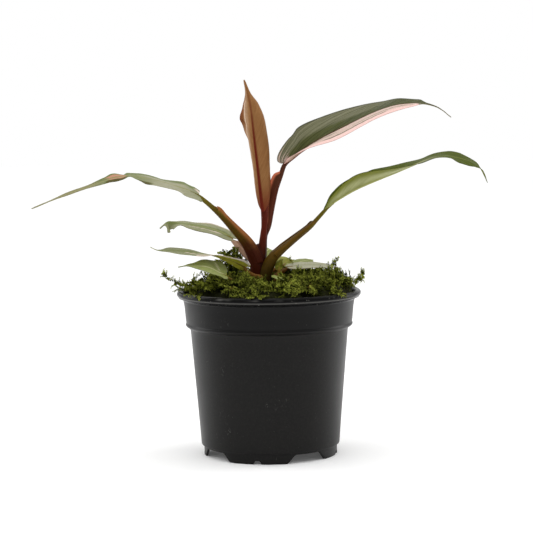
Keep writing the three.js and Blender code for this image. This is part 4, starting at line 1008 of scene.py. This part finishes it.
# Painted sheen: the grey face's greens are greyed all over, for the small low leaf seen nearly edge-on.
GREY = leaf_finish("grey_face", paint(128, 130, 98), paint(158, 158, 130), paint(222, 216, 196),
                   paint(200, 198, 176), paint(166, 168, 134), edge=paint(136, 146, 66))
GREEN_UNDER = leaf_finish("green_under", paint(92, 98, 28), paint(124, 128, 52), paint(190, 190, 140),
                          paint(170, 172, 126), paint(160, 162, 100), edge=paint(60, 68, 14), roughness=0.48)
LIME = leaf_finish("lime_face", paint(96, 98, 16), paint(136, 138, 40), paint(206, 206, 160),
                   paint(160, 160, 90), paint(150, 148, 60), edge=paint(60, 60, 14))
DARK = leaf_finish("half_moon_face", paint(36, 42, 10), paint(84, 88, 44), paint(243, 204, 197),
                   paint(158, 154, 132), paint(72, 50, 26), edge=paint(30, 34, 12), roughness=0.42,
                   streak=0.28, bare_streak=-0.15)
DARK_UNDER = leaf_finish("half_moon_under", paint(92, 84, 48), paint(120, 112, 66), paint(214, 170, 160),
                         paint(140, 134, 100), paint(110, 56, 44), edge=paint(84, 60, 40), roughness=0.48)
COPPER = leaf_finish("copper_face", paint(128, 88, 58), paint(150, 108, 74), paint(206, 178, 160),
                     paint(190, 156, 132), paint(120, 60, 44), red=paint(112, 44, 34),
                     edge=paint(170, 120, 92))
COPPER_UNDER = leaf_finish("copper_under", paint(124, 82, 47), paint(154, 113, 71), paint(212, 186, 164),
                           paint(190, 160, 132), paint(96, 26, 18), red=paint(104, 36, 22),
                           edge=paint(112, 60, 36))
LOOKS = {
    "left": (SAGE, SAGE_UNDER, paint_left, "pale_leaf"),
    "new": (COPPER, COPPER_UNDER, paint_new, "copper_leaf"),
    "half_moon": (DARK, DARK_UNDER, paint_half_moon, "dark_leaf"),
    "right": (GREEN, GREEN_UNDER, paint_right, "green_leaf"),
    "upper_left": (SAGE, SAGE_UNDER, paint_streaked, "pale_leaf"),
    "mid_left": (SAGE, SAGE_UNDER, paint_rimmed, "pale_leaf"),
    "lower_left": (FRESH, GREEN_UNDER, paint_wedge, "green_leaf"),
    "low_right": (GREY, SAGE_UNDER, plain, "pale_leaf"),
    "back_right": (FRESH, GREEN_UNDER, plain, "green_leaf"),
    "dark_rimmed": (LIME, GREEN_UNDER, paint_wedge, "green_leaf"),
    "curled": (LIME, LIME, bare, "green_leaf"),
    "front": (FRESH, GREEN_UNDER, bare, "green_leaf"),
    "behind": (FRESH, GREEN_UNDER, plain, "green_leaf"),
}
print("leaf finishes:", len({material.name for look in LOOKS.values() for material in look[:2]}))

# %% [markdown]
# ## Growing the leaves
# Each stalk runs on a little way under the blade, thinner and thinner, and becomes the midrib. The
# stalks of the four big leaves are wider at the foot than the frame's, where they clasp each other
# round the hidden top of the stem. The newest stalk is red, and the older ones have turned olive above
# their red feet.

# %% Stalk finishes
DEEP_RED = paint(68, 26, 12)
RED = stalk_finish("red_stalk", DEEP_RED, paint(88, 28, 14), paint(110, 44, 24), paint(170, 104, 76))
MAROON = stalk_finish("maroon_stalk", DEEP_RED, paint(84, 38, 22), paint(80, 46, 30), paint(206, 116, 84))
OLIVE = stalk_finish("olive_stalk", DEEP_RED, paint(82, 60, 8), paint(106, 98, 28), paint(156, 98, 54))
DARK_OLIVE = stalk_finish("dark_olive_stalk", paint(50, 40, 12), paint(88, 64, 12), paint(110, 102, 30),
                          paint(104, 74, 22), change=(0.1, 0.122))
TAN = stalk_finish("tan_stalk", paint(88, 50, 20), paint(118, 82, 34), paint(124, 112, 44),
                   paint(172, 138, 116), change=(0.1, 0.106))
STEM_SKIN = stalk_finish("stem_skin", paint(40, 14, 7), paint(56, 20, 10), paint(58, 22, 12),
                         paint(120, 72, 50))
SKINS = {"left": OLIVE, "new": RED, "half_moon": MAROON, "right": DARK_OLIVE}
print("stalk finishes:", len(SKINS) + 2)


# %% Leaves, stalks and sheaths
def with_join(leaf):
    """A stalk's stations and two more under the blade, where it thins into the midrib."""
    radius = leaf["stalk"][-1][3]
    first, second = (np.array(station, float) for station in leaf["midrib"][:2])
    joint, end = (*(first - (0, 0, 0.35)), radius * 0.85), (*(second - (0, 0, 0.5)), radius * 0.4)
    return [*leaf["stalk"], joint, end]


for name, leaf in LEAVES.items():
    face, under, pattern, slot_name = LOOKS[name]
    blade_piece("leaf_" + name, leaf, [face, under], "blade_" + name, pattern)
    skin = SKINS.get(name, TAN)
    line = leaf["stalk"] if name == "new" else with_join(leaf)
    stalk_piece("petiole_" + name, line, skin, "stalk_" + name, steps=12 * len(line))
    if "sheath" in leaf:
        sheath_piece("wing_" + name, leaf["stalk"], leaf["sheath"], skin, "sheath_" + name)
stalk_piece("crown", STEM_LINE, STEM_SKIN, "stem", steps=70, sides=32, channel=0)
print("leaf triangles:", sum(made.values()))

# %% [markdown]
# ## The potting mix
# Damp bark and peat fill the pot to a little under the lip. The surface is a disc with small lumps,
# and the body below it follows the inside of the pot down to its floor. A Displace modifier could make
# the lumps. A sum of plane waves makes them as well, and its height is known at every point at once.

# %% Potting mix
SOIL_TOP, SOIL_LOW = 92.0, 7.4
SOIL_SPOKES = 180
SOIL_SIDE = [(48.0, 88), (46.9, 77), (45.0, 73), (38.6, 9), (37.5, SOIL_LOW), (0.4, SOIL_LOW)]


def around(radii, spokes):
    """x and y of the points of a disc: one ring of them for each radius."""
    spin = np.linspace(0, 2 * np.pi, spokes + 1)[:-1]
    radii = np.asarray(radii, float)[:, None]
    return radii * np.cos(spin), radii * np.sin(spin)


def random_waves(x, y, seed, count=14, low=0.15, high=0.9):
    """Smooth random height over x and y: the sum of plane waves in random directions, with random
    lengths and phases, divided by the root of their number. It stays mostly between -1.5 and 1.5."""
    pick = np.random.default_rng(seed)
    turn, phase = pick.uniform(0, 2 * np.pi, (2, count))
    often = pick.uniform(low, high, count)
    shape = (-1,) + (1,) * np.ndim(x)
    turn, phase, often = (a.reshape(shape) for a in (turn, phase, often))
    return np.sin(often * (x * np.cos(turn) + y * np.sin(turn)) + phase).sum(0) / np.sqrt(count)


x, y = around(np.linspace(0.3, 48.2, 60), SOIL_SPOKES)
z = SOIL_TOP + 0.5 * random_waves(x, y, 3) + 0.25 * random_waves(x, y, 4, 20, 1, 3)
side_radii, side_heights = np.array(SOIL_SIDE).T
side_x, side_y = around(side_radii, SOIL_SPOKES)
side = np.stack([side_x, side_y, side_heights[:, None] + 0 * side_x], -1)
rings = np.concatenate([np.stack([x, y, z], -1), side])
points, faces = closed_body(rings, (0, 0, SOIL_TOP), (0, 0, SOIL_LOW), flip=True)
print("rings of the mix:", len(rings))

# %% Finish of the mix
MIX = Finish("potting_mix", 0.85, 0.25)
spot = MIX.place()
crumb = MIX.noise(spot, 420, 5, 0.6)
damp = MIX.noise(spot, 60, 3)
MIX.set("Base Color", MIX.blend(crumb, paint(26, 19, 14), paint(74, 56, 40)))
MIX.set("Roughness", MIX.between(damp, 0.35, 0.65, 0.55, 0.9))
MIX.bump(crumb, 0.8, 1.0)
piece("mix_body", points, faces, [MIX.material], ["potting_mix"])
print("triangles of the mix:", made["mix_body"])

# %% [markdown]
# On the mix lie chips of bark and white grains of perlite. Geometry Nodes could scatter them. Here each
# is a small lump of its own with six corners and two poles, and one set of arrays places, tilts and
# sizes them all, so that they become one mesh with few faces.

# %% Bark chips and perlite
ON_MIX = 47.5  # radius within which something lies on the mix


def lumps(count, size, flat, seed):
    """Random lumps on the mix: each is a double cone with six uneven corners, flattened and turned
    at random. Returns the points and the faces of them all."""
    pick = np.random.default_rng(seed)
    corner = np.arange(6) * np.pi / 3
    out = np.sqrt(pick.uniform(0.02, 1, count)) * ON_MIX
    turn = pick.uniform(0, 2 * np.pi, count)
    centre = np.stack([out * np.cos(turn), out * np.sin(turn), np.full(count, SOIL_TOP + 0.25)], -1)
    big = size * pick.uniform(0.5, 1.4, count)[:, None]
    ring = np.stack([np.cos(corner) * big, np.sin(corner) * big * pick.uniform(0.5, 1, (count, 1)),
                     pick.uniform(-0.3, 0.3, (count, 6)) * big * flat], -1)
    ring = ring * pick.uniform(0.75, 1.2, (count, 6, 1))
    poles = np.zeros((count, 2, 3))
    poles[..., 2] = np.array([0.6, -0.6]) * big * flat
    local = np.concatenate([ring, poles], 1)
    spin, tilt = pick.uniform(0, 2 * np.pi, count)[:, None], pick.normal(0, 0.5, count)[:, None]
    x = local[..., 0] * np.cos(tilt) + local[..., 2] * np.sin(tilt)
    y = local[..., 1]
    z = local[..., 2] * np.cos(tilt) - local[..., 0] * np.sin(tilt)
    turned = np.stack([x * np.cos(spin) - y * np.sin(spin), x * np.sin(spin) + y * np.cos(spin), z], -1)
    points = centre[:, None] + turned
    k = np.arange(6)
    one = np.concatenate([np.stack([k, (k + 1) % 6, np.full(6, 6)], 1),
                          np.stack([(k + 1) % 6, k, np.full(6, 7)], 1)])
    return points.reshape(-1, 3), (one[None] + 8 * np.arange(count)[:, None, None]).reshape(-1, 3)


BARK = Finish("bark_chips", 0.8, 0.3)
tone = BARK.noise(BARK.place(), 260, 3)
BARK.set("Base Color", BARK.blend(tone, paint(30, 21, 15), paint(104, 74, 50)))
BARK.bump(BARK.noise(BARK.place(), 1100, 3), 0.2)
PERLITE = Finish("perlite_grains", 0.85, 0.3)
tone = PERLITE.noise(PERLITE.place(), 700, 3)
PERLITE.set("Base Color", PERLITE.blend(tone, paint(200, 198, 190), paint(240, 239, 234)))
PERLITE.bump(tone, 0.3)
points, faces = lumps(1500, 1.1, 0.7, 11)
piece("mix_grains", points, [faces], [BARK.material], [])
points, faces = lumps(90, 0.8, 0.9, 12)
piece("perlite_bits", points, [faces], [PERLITE.material], [])
print("triangles on the mix:", made["mix_grains"] + made["perlite_bits"])

# %% [markdown]
# ## The moss
# The moss is a feathery one. Each shoot is a curved thread with small pointed leaves set round it in
# a spiral, so it looks like a ragged cord about 2 mm thick. A long shoot with short ones on both sides
# is a frond, and hundreds of fronds lie over each other in a mat with dark gaps between. A bump on a
# green mound would look like cloth, and hair isn't a mesh that other programs can read. So one shoot
# of a few dozen faces is drawn in its own coordinates, straight along y. Then every shoot gets its own
# place, heading, slope, bend and size at once.

# %% One shoot
def shoot_template(leaves):
    """A straight shoot of length 1 along y and thickness 1 in x and z: a thread of three quads, and
    kite-shaped leaves, each turned 137.5 degrees from the last. Returns the points, the share of the
    way from the shoot's root to a light tip for each, and the quads."""
    at = np.linspace(0, 1, 4)
    half = 0.3 * (1 - 0.8 * at)
    thread = np.concatenate([np.stack([side * half, at, 0 * at], -1) for side in (1, -1)])
    k = np.arange(3)
    start = np.linspace(0.06, 0.9, leaves)
    turn = np.radians(137.5) * np.arange(leaves)
    out = np.stack([np.cos(turn), 0 * turn, np.sin(turn)], -1)
    side = np.stack([-np.sin(turn), 0 * turn, np.cos(turn)], -1)
    size = 1.05 - 0.5 * start[:, None] + 0.3 * (np.arange(leaves) % 4 == 0)[:, None]
    along = np.array([0, 1.0, 0])
    root = start[:, None] * along
    wide = root + size * (0.42 * out + 0.04 * along)
    kites = np.stack([root, wide + 0.5 * size * side, root + size * (0.6 * out + 0.13 * along),
                      wide - 0.5 * size * side], 1)
    points = np.concatenate([thread, kites.reshape(-1, 3)])
    tips = np.concatenate([at, at, (start[:, None] * 0.5 + np.array([0, 0.25, 0.5, 0.25])).ravel()])
    quads = np.concatenate([np.stack([k, k + 1, k + 5, k + 4], 1), 8 + np.arange(4 * leaves).reshape(-1, 4)])
    return points, tips, quads


# %% Many shoots
def place_shoots(name, root, heading, slope, length, thick, sag, seed, tone, over_rim=False, bend=None,
                 leaves=15):
    """Shoots from the template: heading is the bearing in the ground plane, bend how far it turns
    towards the tip, slope the rise at the root, sag how much it falls towards the tip, and tone how
    light the shoot is. Near the pot's rim a shoot is turned up, so that it lies on the lip and
    doesn't pass through it, unless it hangs over the rim."""
    local, tips, quads = shoot_template(leaves)
    pick = np.random.default_rng(seed)
    count = len(root)
    y = local[None, :, 1] * length[:, None]
    roll = pick.uniform(0, 2 * np.pi, (count, 1))
    x = (local[:, 0] * np.cos(roll) - local[:, 2] * np.sin(roll)) * thick[:, None]
    lift = (local[:, 0] * np.sin(roll) + local[:, 2] * np.cos(roll)) * thick[:, None]
    pitch = slope[:, None] - sag[:, None] * local[None, :, 1]
    bend = pick.normal(0, 0.9, count) if bend is None else bend
    turn = heading[:, None] + bend[:, None] * local[None, :, 1]
    forward = y * np.cos(pitch) - lift * np.sin(pitch)
    px = root[:, None, 0] + forward * np.cos(turn) - x * np.sin(turn)
    py = root[:, None, 1] + forward * np.sin(turn) + x * np.cos(turn)
    pz = root[:, None, 2] + y * np.sin(pitch) + lift * np.cos(pitch)
    out = np.hypot(px, py)
    if over_rim:
        rest = LIP_TOP + 0.3 - 3.4 * np.clip((out - LIP + 1.6) / 2.8, 0, 1) ** 2
        pz = np.where(out < LIP + 1.2, np.maximum(pz, rest), pz)
    else:
        excess = np.maximum(out - 50.0, 0)
        inward = (out - 0.7 * excess) / np.maximum(out, 1e-9)
        px, py = px * inward, py * inward
        pz = np.where(out > 47.0, np.maximum(pz + 0.45 * excess, LIP_TOP + 0.2), pz)
    faces = (quads[None] + len(local) * np.arange(count)[:, None, None]).reshape(-1, 4)
    tone = 0.2 * pick.uniform(0, 1, count) + 0.8 * tone
    return piece(name, np.stack([px, py, pz], -1), [faces], [MOSS.material], [],
                 layers={"tip": np.tile(tips, count), "tone": np.repeat(tone, len(local))})


# %% [markdown]
# Moss is darkest at the root of each shoot and lightest at the tips of its leaves. Both tones run from
# a deep to a light green with the tone of the shoot, and here and there a patch has dried to brown.

# %% Moss finish
MOSS = Finish("moss_shoots", 0.8, 0.02)
tip, tone = MOSS.layer("tip"), MOSS.layer("tone")
clump = MOSS.noise(MOSS.place(), 130, 3)
light = MOSS.math("ADD", MOSS.between(tone, 0.25, 0.95, 0, 0.95), MOSS.between(clump, 0.42, 0.66, 0, 0.2))
old = MOSS.blend(light, paint(11, 14, 1), paint(68, 76, 14))
fresh = MOSS.blend(light, paint(34, 42, 5), paint(186, 194, 84))
moss_colour = MOSS.blend(MOSS.between(tip, 0.1, 0.95), old, fresh)
dry = MOSS.between(MOSS.noise(MOSS.place(), 150, 2), 0.64, 0.72, 0, 0.5)
MOSS.set("Base Color", MOSS.blend(dry, moss_colour, paint(116, 84, 40)))
MOSS.bump(MOSS.noise(MOSS.place(), 2200, 2), 0.1)
print("nodes in the moss finish:", len(MOSS.tree.nodes))

# %% [markdown]
# The mat has a bed, the same low mound as the frame's, coloured near black as painted shade in the
# gaps. The fronds grow out of the bed, each with its own heading, lift and tone. The tall tuft at the
# back left has only a low bed: the rest of it is fronds, one on top of another, so light passes
# between them.

# %% Height of the moss
MOSS_RADIUS, MOSS_EDGE, MOSS_CROWN = 49.4, 97.7, 103.5
# Each tuft: its middle, its half widths and height, and the share of that height that the bed has.
TUFTS = [((-22, 17, 107), (9, 7, 13), 0.4), ((30, 16, 103), (14, 12, 3), 1)]
# Each hollow: the x and y of its middle, its widths and its depth.
HOLLOWS = [(-5, -11, 10, 8, 3.4), (6, -23, 9, 7, 2.4)]


def moss_height(x, y):
    """Height of the moss: a mound 6 mm high with two crossed waves of lumps, leaning up to the
    right, with a steep tuft at the back left and a low one at the right, and with two hollows, one
    at the foot of the stem and one in front of it."""
    out = np.clip(np.hypot(x, y) / MOSS_RADIUS, 0, 1)
    mound = MOSS_EDGE + (MOSS_CROWN - MOSS_EDGE) * (1 - out**4)
    free = np.clip((mound - LIP_TOP) / 3, 0, 1)
    lumps_here = np.sin(x * 0.31 + 1.3) * np.cos(y * 0.27) + 0.6 * np.sin(x * 0.13 - y * 0.37)
    height = mound + free**2 * (3 - 2 * free) * (lumps_here + 1.6 * x / MOSS_RADIUS)
    for (cx, cy, cz), (wx, wy, wz), share in TUFTS:
        inside = 1 - ((x - cx) / wx) ** 2 - ((y - cy) / wy) ** 2
        top = cz + wz * share * np.sqrt(np.maximum(inside, 0)) - 1.0 - 6 * (1 - share)
        height = np.maximum(height, np.where(inside > 0, top, 0))
    for cx, cy, wx, wy, depth in HOLLOWS:
        height = height - depth * np.exp(-((x - cx) / wx) ** 2 - ((y - cy) / wy) ** 2)
    return height


def thin_front(x, y):
    """Where the mat is thin and the mix shows: two short arcs inside the lip at the front."""
    bearing = np.degrees(np.arctan2(-y, x))
    arcs = window(bearing, 112, 142, 14) + 0.8 * window(bearing, 55, 66, 8)
    return arcs * window(np.hypot(x, y), 41, 90, 5)


# %% Moss bed
BED_SPOKES = 240
x, y = around(np.linspace(0.3, 48.9, 90), BED_SPOKES)
z = moss_height(x, y) - 1.6 + 0.6 * random_waves(x, y, 21, 24, 0.8, 2.2) - 6.0 * thin_front(x, y)
edge_x, edge_y = around([49.0], BED_SPOKES)
low_edge = np.stack([edge_x, edge_y, 93.0 + 0 * edge_x], -1)
rings = np.concatenate([np.stack([x, y, z], -1), low_edge])
points, faces = closed_body(rings, (0, 0, z[0].mean()), (0, 0, 92.6), flip=True)
print("the bed's middle is at", round(float(z[0].mean()), 1), "mm")

# %% Finish of the bed
BED = Finish("moss_bed", 0.9, 0.1)
clump = BED.noise(BED.place(), 500, 5, 0.65)
# Painted shade: the bed is near black, as the shade in the gaps between the fronds.
BED.set("Base Color", BED.blend(clump, paint(8, 10, 2), paint(40, 42, 10)))
BED.bump(clump, 1.2)
piece("moss_ground", points, faces, [BED.material], ["moss_mat"])
print("triangles of the bed:", made["moss_ground"])

# %% [markdown]
# A frond is flat: its side shoots leave the long one to the left and right in turn, like the barbs of
# a feather. On the mat it lies along the ground. The fronds of the mat are laid in layers. The
# upper ones and those in a few clumps are painted lightest, as painted light, and the lower ones and
# those by the crown darker, as painted shade.

# %% Moss fronds
def place_fronds(name, root, heading, slope, length, thick, bend, seed, tone, branches=10, on_mat=True,
                 over_rim=False):
    """Feather-shaped fronds: a long shoot each, and short ones that leave it to the left and right in
    turn at about 45 degrees, shorter and shorter towards the tip. On the mat a frond follows the
    ground, and its slope is added to that. All the arrays have one entry for each frond."""
    pick = np.random.default_rng(seed)
    many = len(root)
    share = np.append(np.linspace(0.1, 0.92, branches), 1.0)
    turn = heading[:, None] + bend[:, None] * share
    reach = length[:, None] * share
    x = root[:, :1] + reach * np.cos(slope)[:, None] * np.cos(turn)
    y = root[:, 1:2] + reach * np.cos(slope)[:, None] * np.sin(turn)
    z = root[:, 2:] + reach * np.sin(slope)[:, None]
    if on_mat:
        z = z + moss_height(x, y) - moss_height(root[:, :1], root[:, 1:2])
    rise = np.arcsin(np.clip((z[:, -1] - root[:, 2]) / length, -1, 1))
    place_shoots(name + "_axis", root, heading, rise, length, thick, 0 * rise, seed + 100, tone, over_rim,
                 bend, leaves=16)
    side = np.where(np.arange(branches) % 2, 1, -1)
    leave = (turn + bend[:, None] * share)[:, :-1] + side * pick.uniform(0.5, 1.1, (many, branches))
    roots = np.stack([x, y, z], -1)[:, :-1].reshape(-1, 3)
    count = many * branches
    size = (length[:, None] * (0.5 - 0.32 * share[:-1]) * pick.uniform(0.6, 1.2, (many, branches))).ravel()
    slope = np.repeat(rise, branches) + pick.normal(0, 0.3, count)
    thick = np.repeat(thick, branches) * pick.uniform(0.7, 1.05, count)
    sag, bend = pick.uniform(-0.6, 1.0, count), pick.normal(0, 0.5, count)
    place_shoots(name + "_twigs", roots, leave.ravel(), slope, size, thick, sag, seed,
                 np.repeat(tone, branches), over_rim, bend, leaves=8)


# %% Fronds of the mat
FRONDS = 700
# Each clump of painted light: the x and y of its middle, and its width.
PAINTED_LIGHT_CLUMPS = [(6, -46, 13), (36, -27, 8), (-40, -28, 12), (-12, -34, 6), (24, 20, 12), (-30, 10, 10)]
pick = np.random.default_rng(31)
out = np.sqrt(pick.uniform(0.01, 1, FRONDS)) * ON_MIX
turn = pick.uniform(0, 2 * np.pi, FRONDS)
x, y = out * np.cos(turn), out * np.sin(turn)
keep = pick.uniform(0, 1, FRONDS) > 0.85 * thin_front(x, y)
x, y, turn = x[keep], y[keep], turn[keep]
count = len(x)
bright = sum(np.exp(-((x - cx) ** 2 + (y - cy) ** 2) / wide**2) for cx, cy, wide in PAINTED_LIGHT_CLUMPS)
layer = pick.uniform(0, 1, count)
heading = turn + np.pi / 2 * pick.choice([-1, 1], count) + pick.normal(0, 0.8, count)
upright = pick.uniform(0, 1, count) > np.where(np.hypot(x, y) > 34, 0.7, 0.84)
slope = np.where(upright, pick.uniform(0.4, 1.1, count), pick.normal(0.06, 0.12, count))
slope = np.where(np.hypot(x, y + 14) < 18, 0.1, slope)
big = pick.uniform(0, 1, count) > 0.86
# Painted shade: the fronds by the crown are held in the lowest layers, which also darkens their tone.
by_crown = (np.hypot(x + 3, y + 10) < 13) | (np.hypot(x - 6, y + 23) < 8)
layer = np.where(by_crown, 0.4 * layer, np.where(big, 1, layer))
length = pick.uniform(7, 14, count) * np.where(upright, 0.7, 1) * np.where(big, 1.15, 1)
root = np.stack([x, y, moss_height(x, y) - 1.8 + 3.2 * layer], -1)
thick, bend = pick.uniform(0.6, 1.0, count) + 0.4 * big, pick.normal(0, 0.4, count)
# Painted light and shade: a frond's tone rises with its layer and in the clumps of painted light, on top of a
# random share.
tone = np.clip(0.02 + 0.95 * layer * pick.uniform(0.5, 1.2, count) + 0.35 * bright, 0, 1)
place_fronds("moss_fronds", root, heading, slope, length, thick, bend, 40, tone)
print("fronds:", count)

# %% [markdown]
# The tuft is filled with steeper and shorter fronds, fewer towards its top, and others stand up singly
# from the mat.

# %% Tuft
(cx, cy, cz), (wx, wy, wz), _ = TUFTS[0]
TUFT_FRONDS = 90
part_up = pick.uniform(0, 1, TUFT_FRONDS) ** 1.2
away = np.sqrt(pick.uniform(0, 1, TUFT_FRONDS)) * np.sqrt(1 - 0.85 * part_up)
turn = pick.uniform(0, 2 * np.pi, TUFT_FRONDS)
root = np.stack([cx + wx * away * np.cos(turn), cy + wy * away * np.sin(turn),
                 cz - 5 + (wz + 2) * part_up], -1)
place_fronds("moss_tuft", root, turn + pick.normal(0, 1, TUFT_FRONDS),
             pick.normal(0.6, 0.5, TUFT_FRONDS), pick.uniform(4.5, 8, TUFT_FRONDS),
             pick.uniform(0.9, 1.5, TUFT_FRONDS), pick.normal(0, 0.9, TUFT_FRONDS), 44,
             pick.uniform(0.2, 1, TUFT_FRONDS), branches=5, on_mat=False)
print("the tuft stands round", (cx, cy, cz))

# %% Strays
STRAYS = 90
turn = pick.uniform(0, 2 * np.pi, STRAYS)
out = pick.uniform(20, 46, STRAYS)
x, y = out * np.cos(turn), out * np.sin(turn)
root = np.stack([x, y, moss_height(x, y)], -1)
place_fronds("moss_strays", root, turn + pick.normal(0, 1, STRAYS), pick.normal(0.7, 0.35, STRAYS),
             pick.uniform(4, 8.5, STRAYS), pick.uniform(0.7, 1.0, STRAYS), pick.normal(0, 0.9, STRAYS), 45,
             pick.uniform(0.2, 1, STRAYS), branches=5, on_mat=False)
print("pieces so far:", len(made))

# %% [markdown]
# A few clumps hang over the rim, and two longer sprays stick out beyond it, one on each side. The
# clumps are fronds again. A spray is too long and too ragged for that, so its shoots are set along a
# line of its own.

# %% Moss over the rim
# Each clump: x and y on the rim, how many fronds it has, and how steeply they hang.
HANGING = [(-50.0, -7.0, 5, 0.2), (-47.5, -17.0, 5, 0.3), (-40.5, -33.0, 4, 1.0), (-12.0, -50.5, 3, 0.4),
           (-3.0, -51.0, 2, 0.5), (38.5, -34.5, 4, 1.0)]
clumps = []
for x, y, many, steep in HANGING:
    outwards = math.atan2(y, x)
    spread = pick.normal(0, 1, (many, 3)) * (2.2, 1.4, 0.4)
    root = np.array([0.95 * x, 0.95 * y, LIP_TOP + 1.2]) + spread
    clumps.append(np.column_stack([root, outwards + pick.normal(0, 0.8, many),
                                   pick.normal(0.1 - 0.4 * steep, 0.25, many)]))
clumps = np.concatenate(clumps)
count = len(clumps)
place_fronds("moss_hanging", clumps[:, :3], clumps[:, 3], clumps[:, 4], pick.uniform(5, 8.5, count),
             pick.uniform(0.8, 1.1, count), pick.normal(0, 0.5, count), 46, pick.uniform(0.5, 1, count),
             branches=6, on_mat=False, over_rim=True)
print("fronds over the rim:", count)

# %% Sprays
SPRAYS = {
    "moss_spray_left": ("moss_sprig_left",
                        [(-40, -1, 99.5), (-49, -2, 100), (-56, -3.5, 102), (-61.5, -6, 107)]),
    "moss_spray_right": ("moss_sprig_right",
                         [(43, 2, 101), (49, 0, 100.2), (53, -3, 102.5), (55.5, -6, 106)]),
}
SPRAY_SHOOTS = 46
for k, (name, (node, line)) in enumerate(SPRAYS.items()):
    line = np.array(line, float)
    knots = knots_of(line)
    pick = np.random.default_rng(60 + k)
    at = pick.uniform(0.05, 0.95, SPRAY_SHOOTS) * knots[-1]
    roots = smooth(knots, line, at) + pick.normal(0, 0.35, (SPRAY_SHOOTS, 3))
    along = frame_of(knots, line, at)[0]
    heading = np.arctan2(along[:, 1], along[:, 0]) + pick.normal(0, 0.8, SPRAY_SHOOTS)
    slope = np.arcsin(along[:, 2]) + pick.normal(0, 0.5, SPRAY_SHOOTS)
    length, thick = pick.uniform(2.2, 4.5, SPRAY_SHOOTS), pick.uniform(0.9, 1.35, SPRAY_SHOOTS)
    sag, tone = pick.uniform(-0.8, 0.8, SPRAY_SHOOTS), pick.uniform(0.6, 1, SPRAY_SHOOTS)
    obj = place_shoots(name, roots, heading, slope, length, thick, sag, 70 + k, tone, over_rim=True)
    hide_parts(node)
print("pieces:", len(made), "triangles:", sum(made.values()))
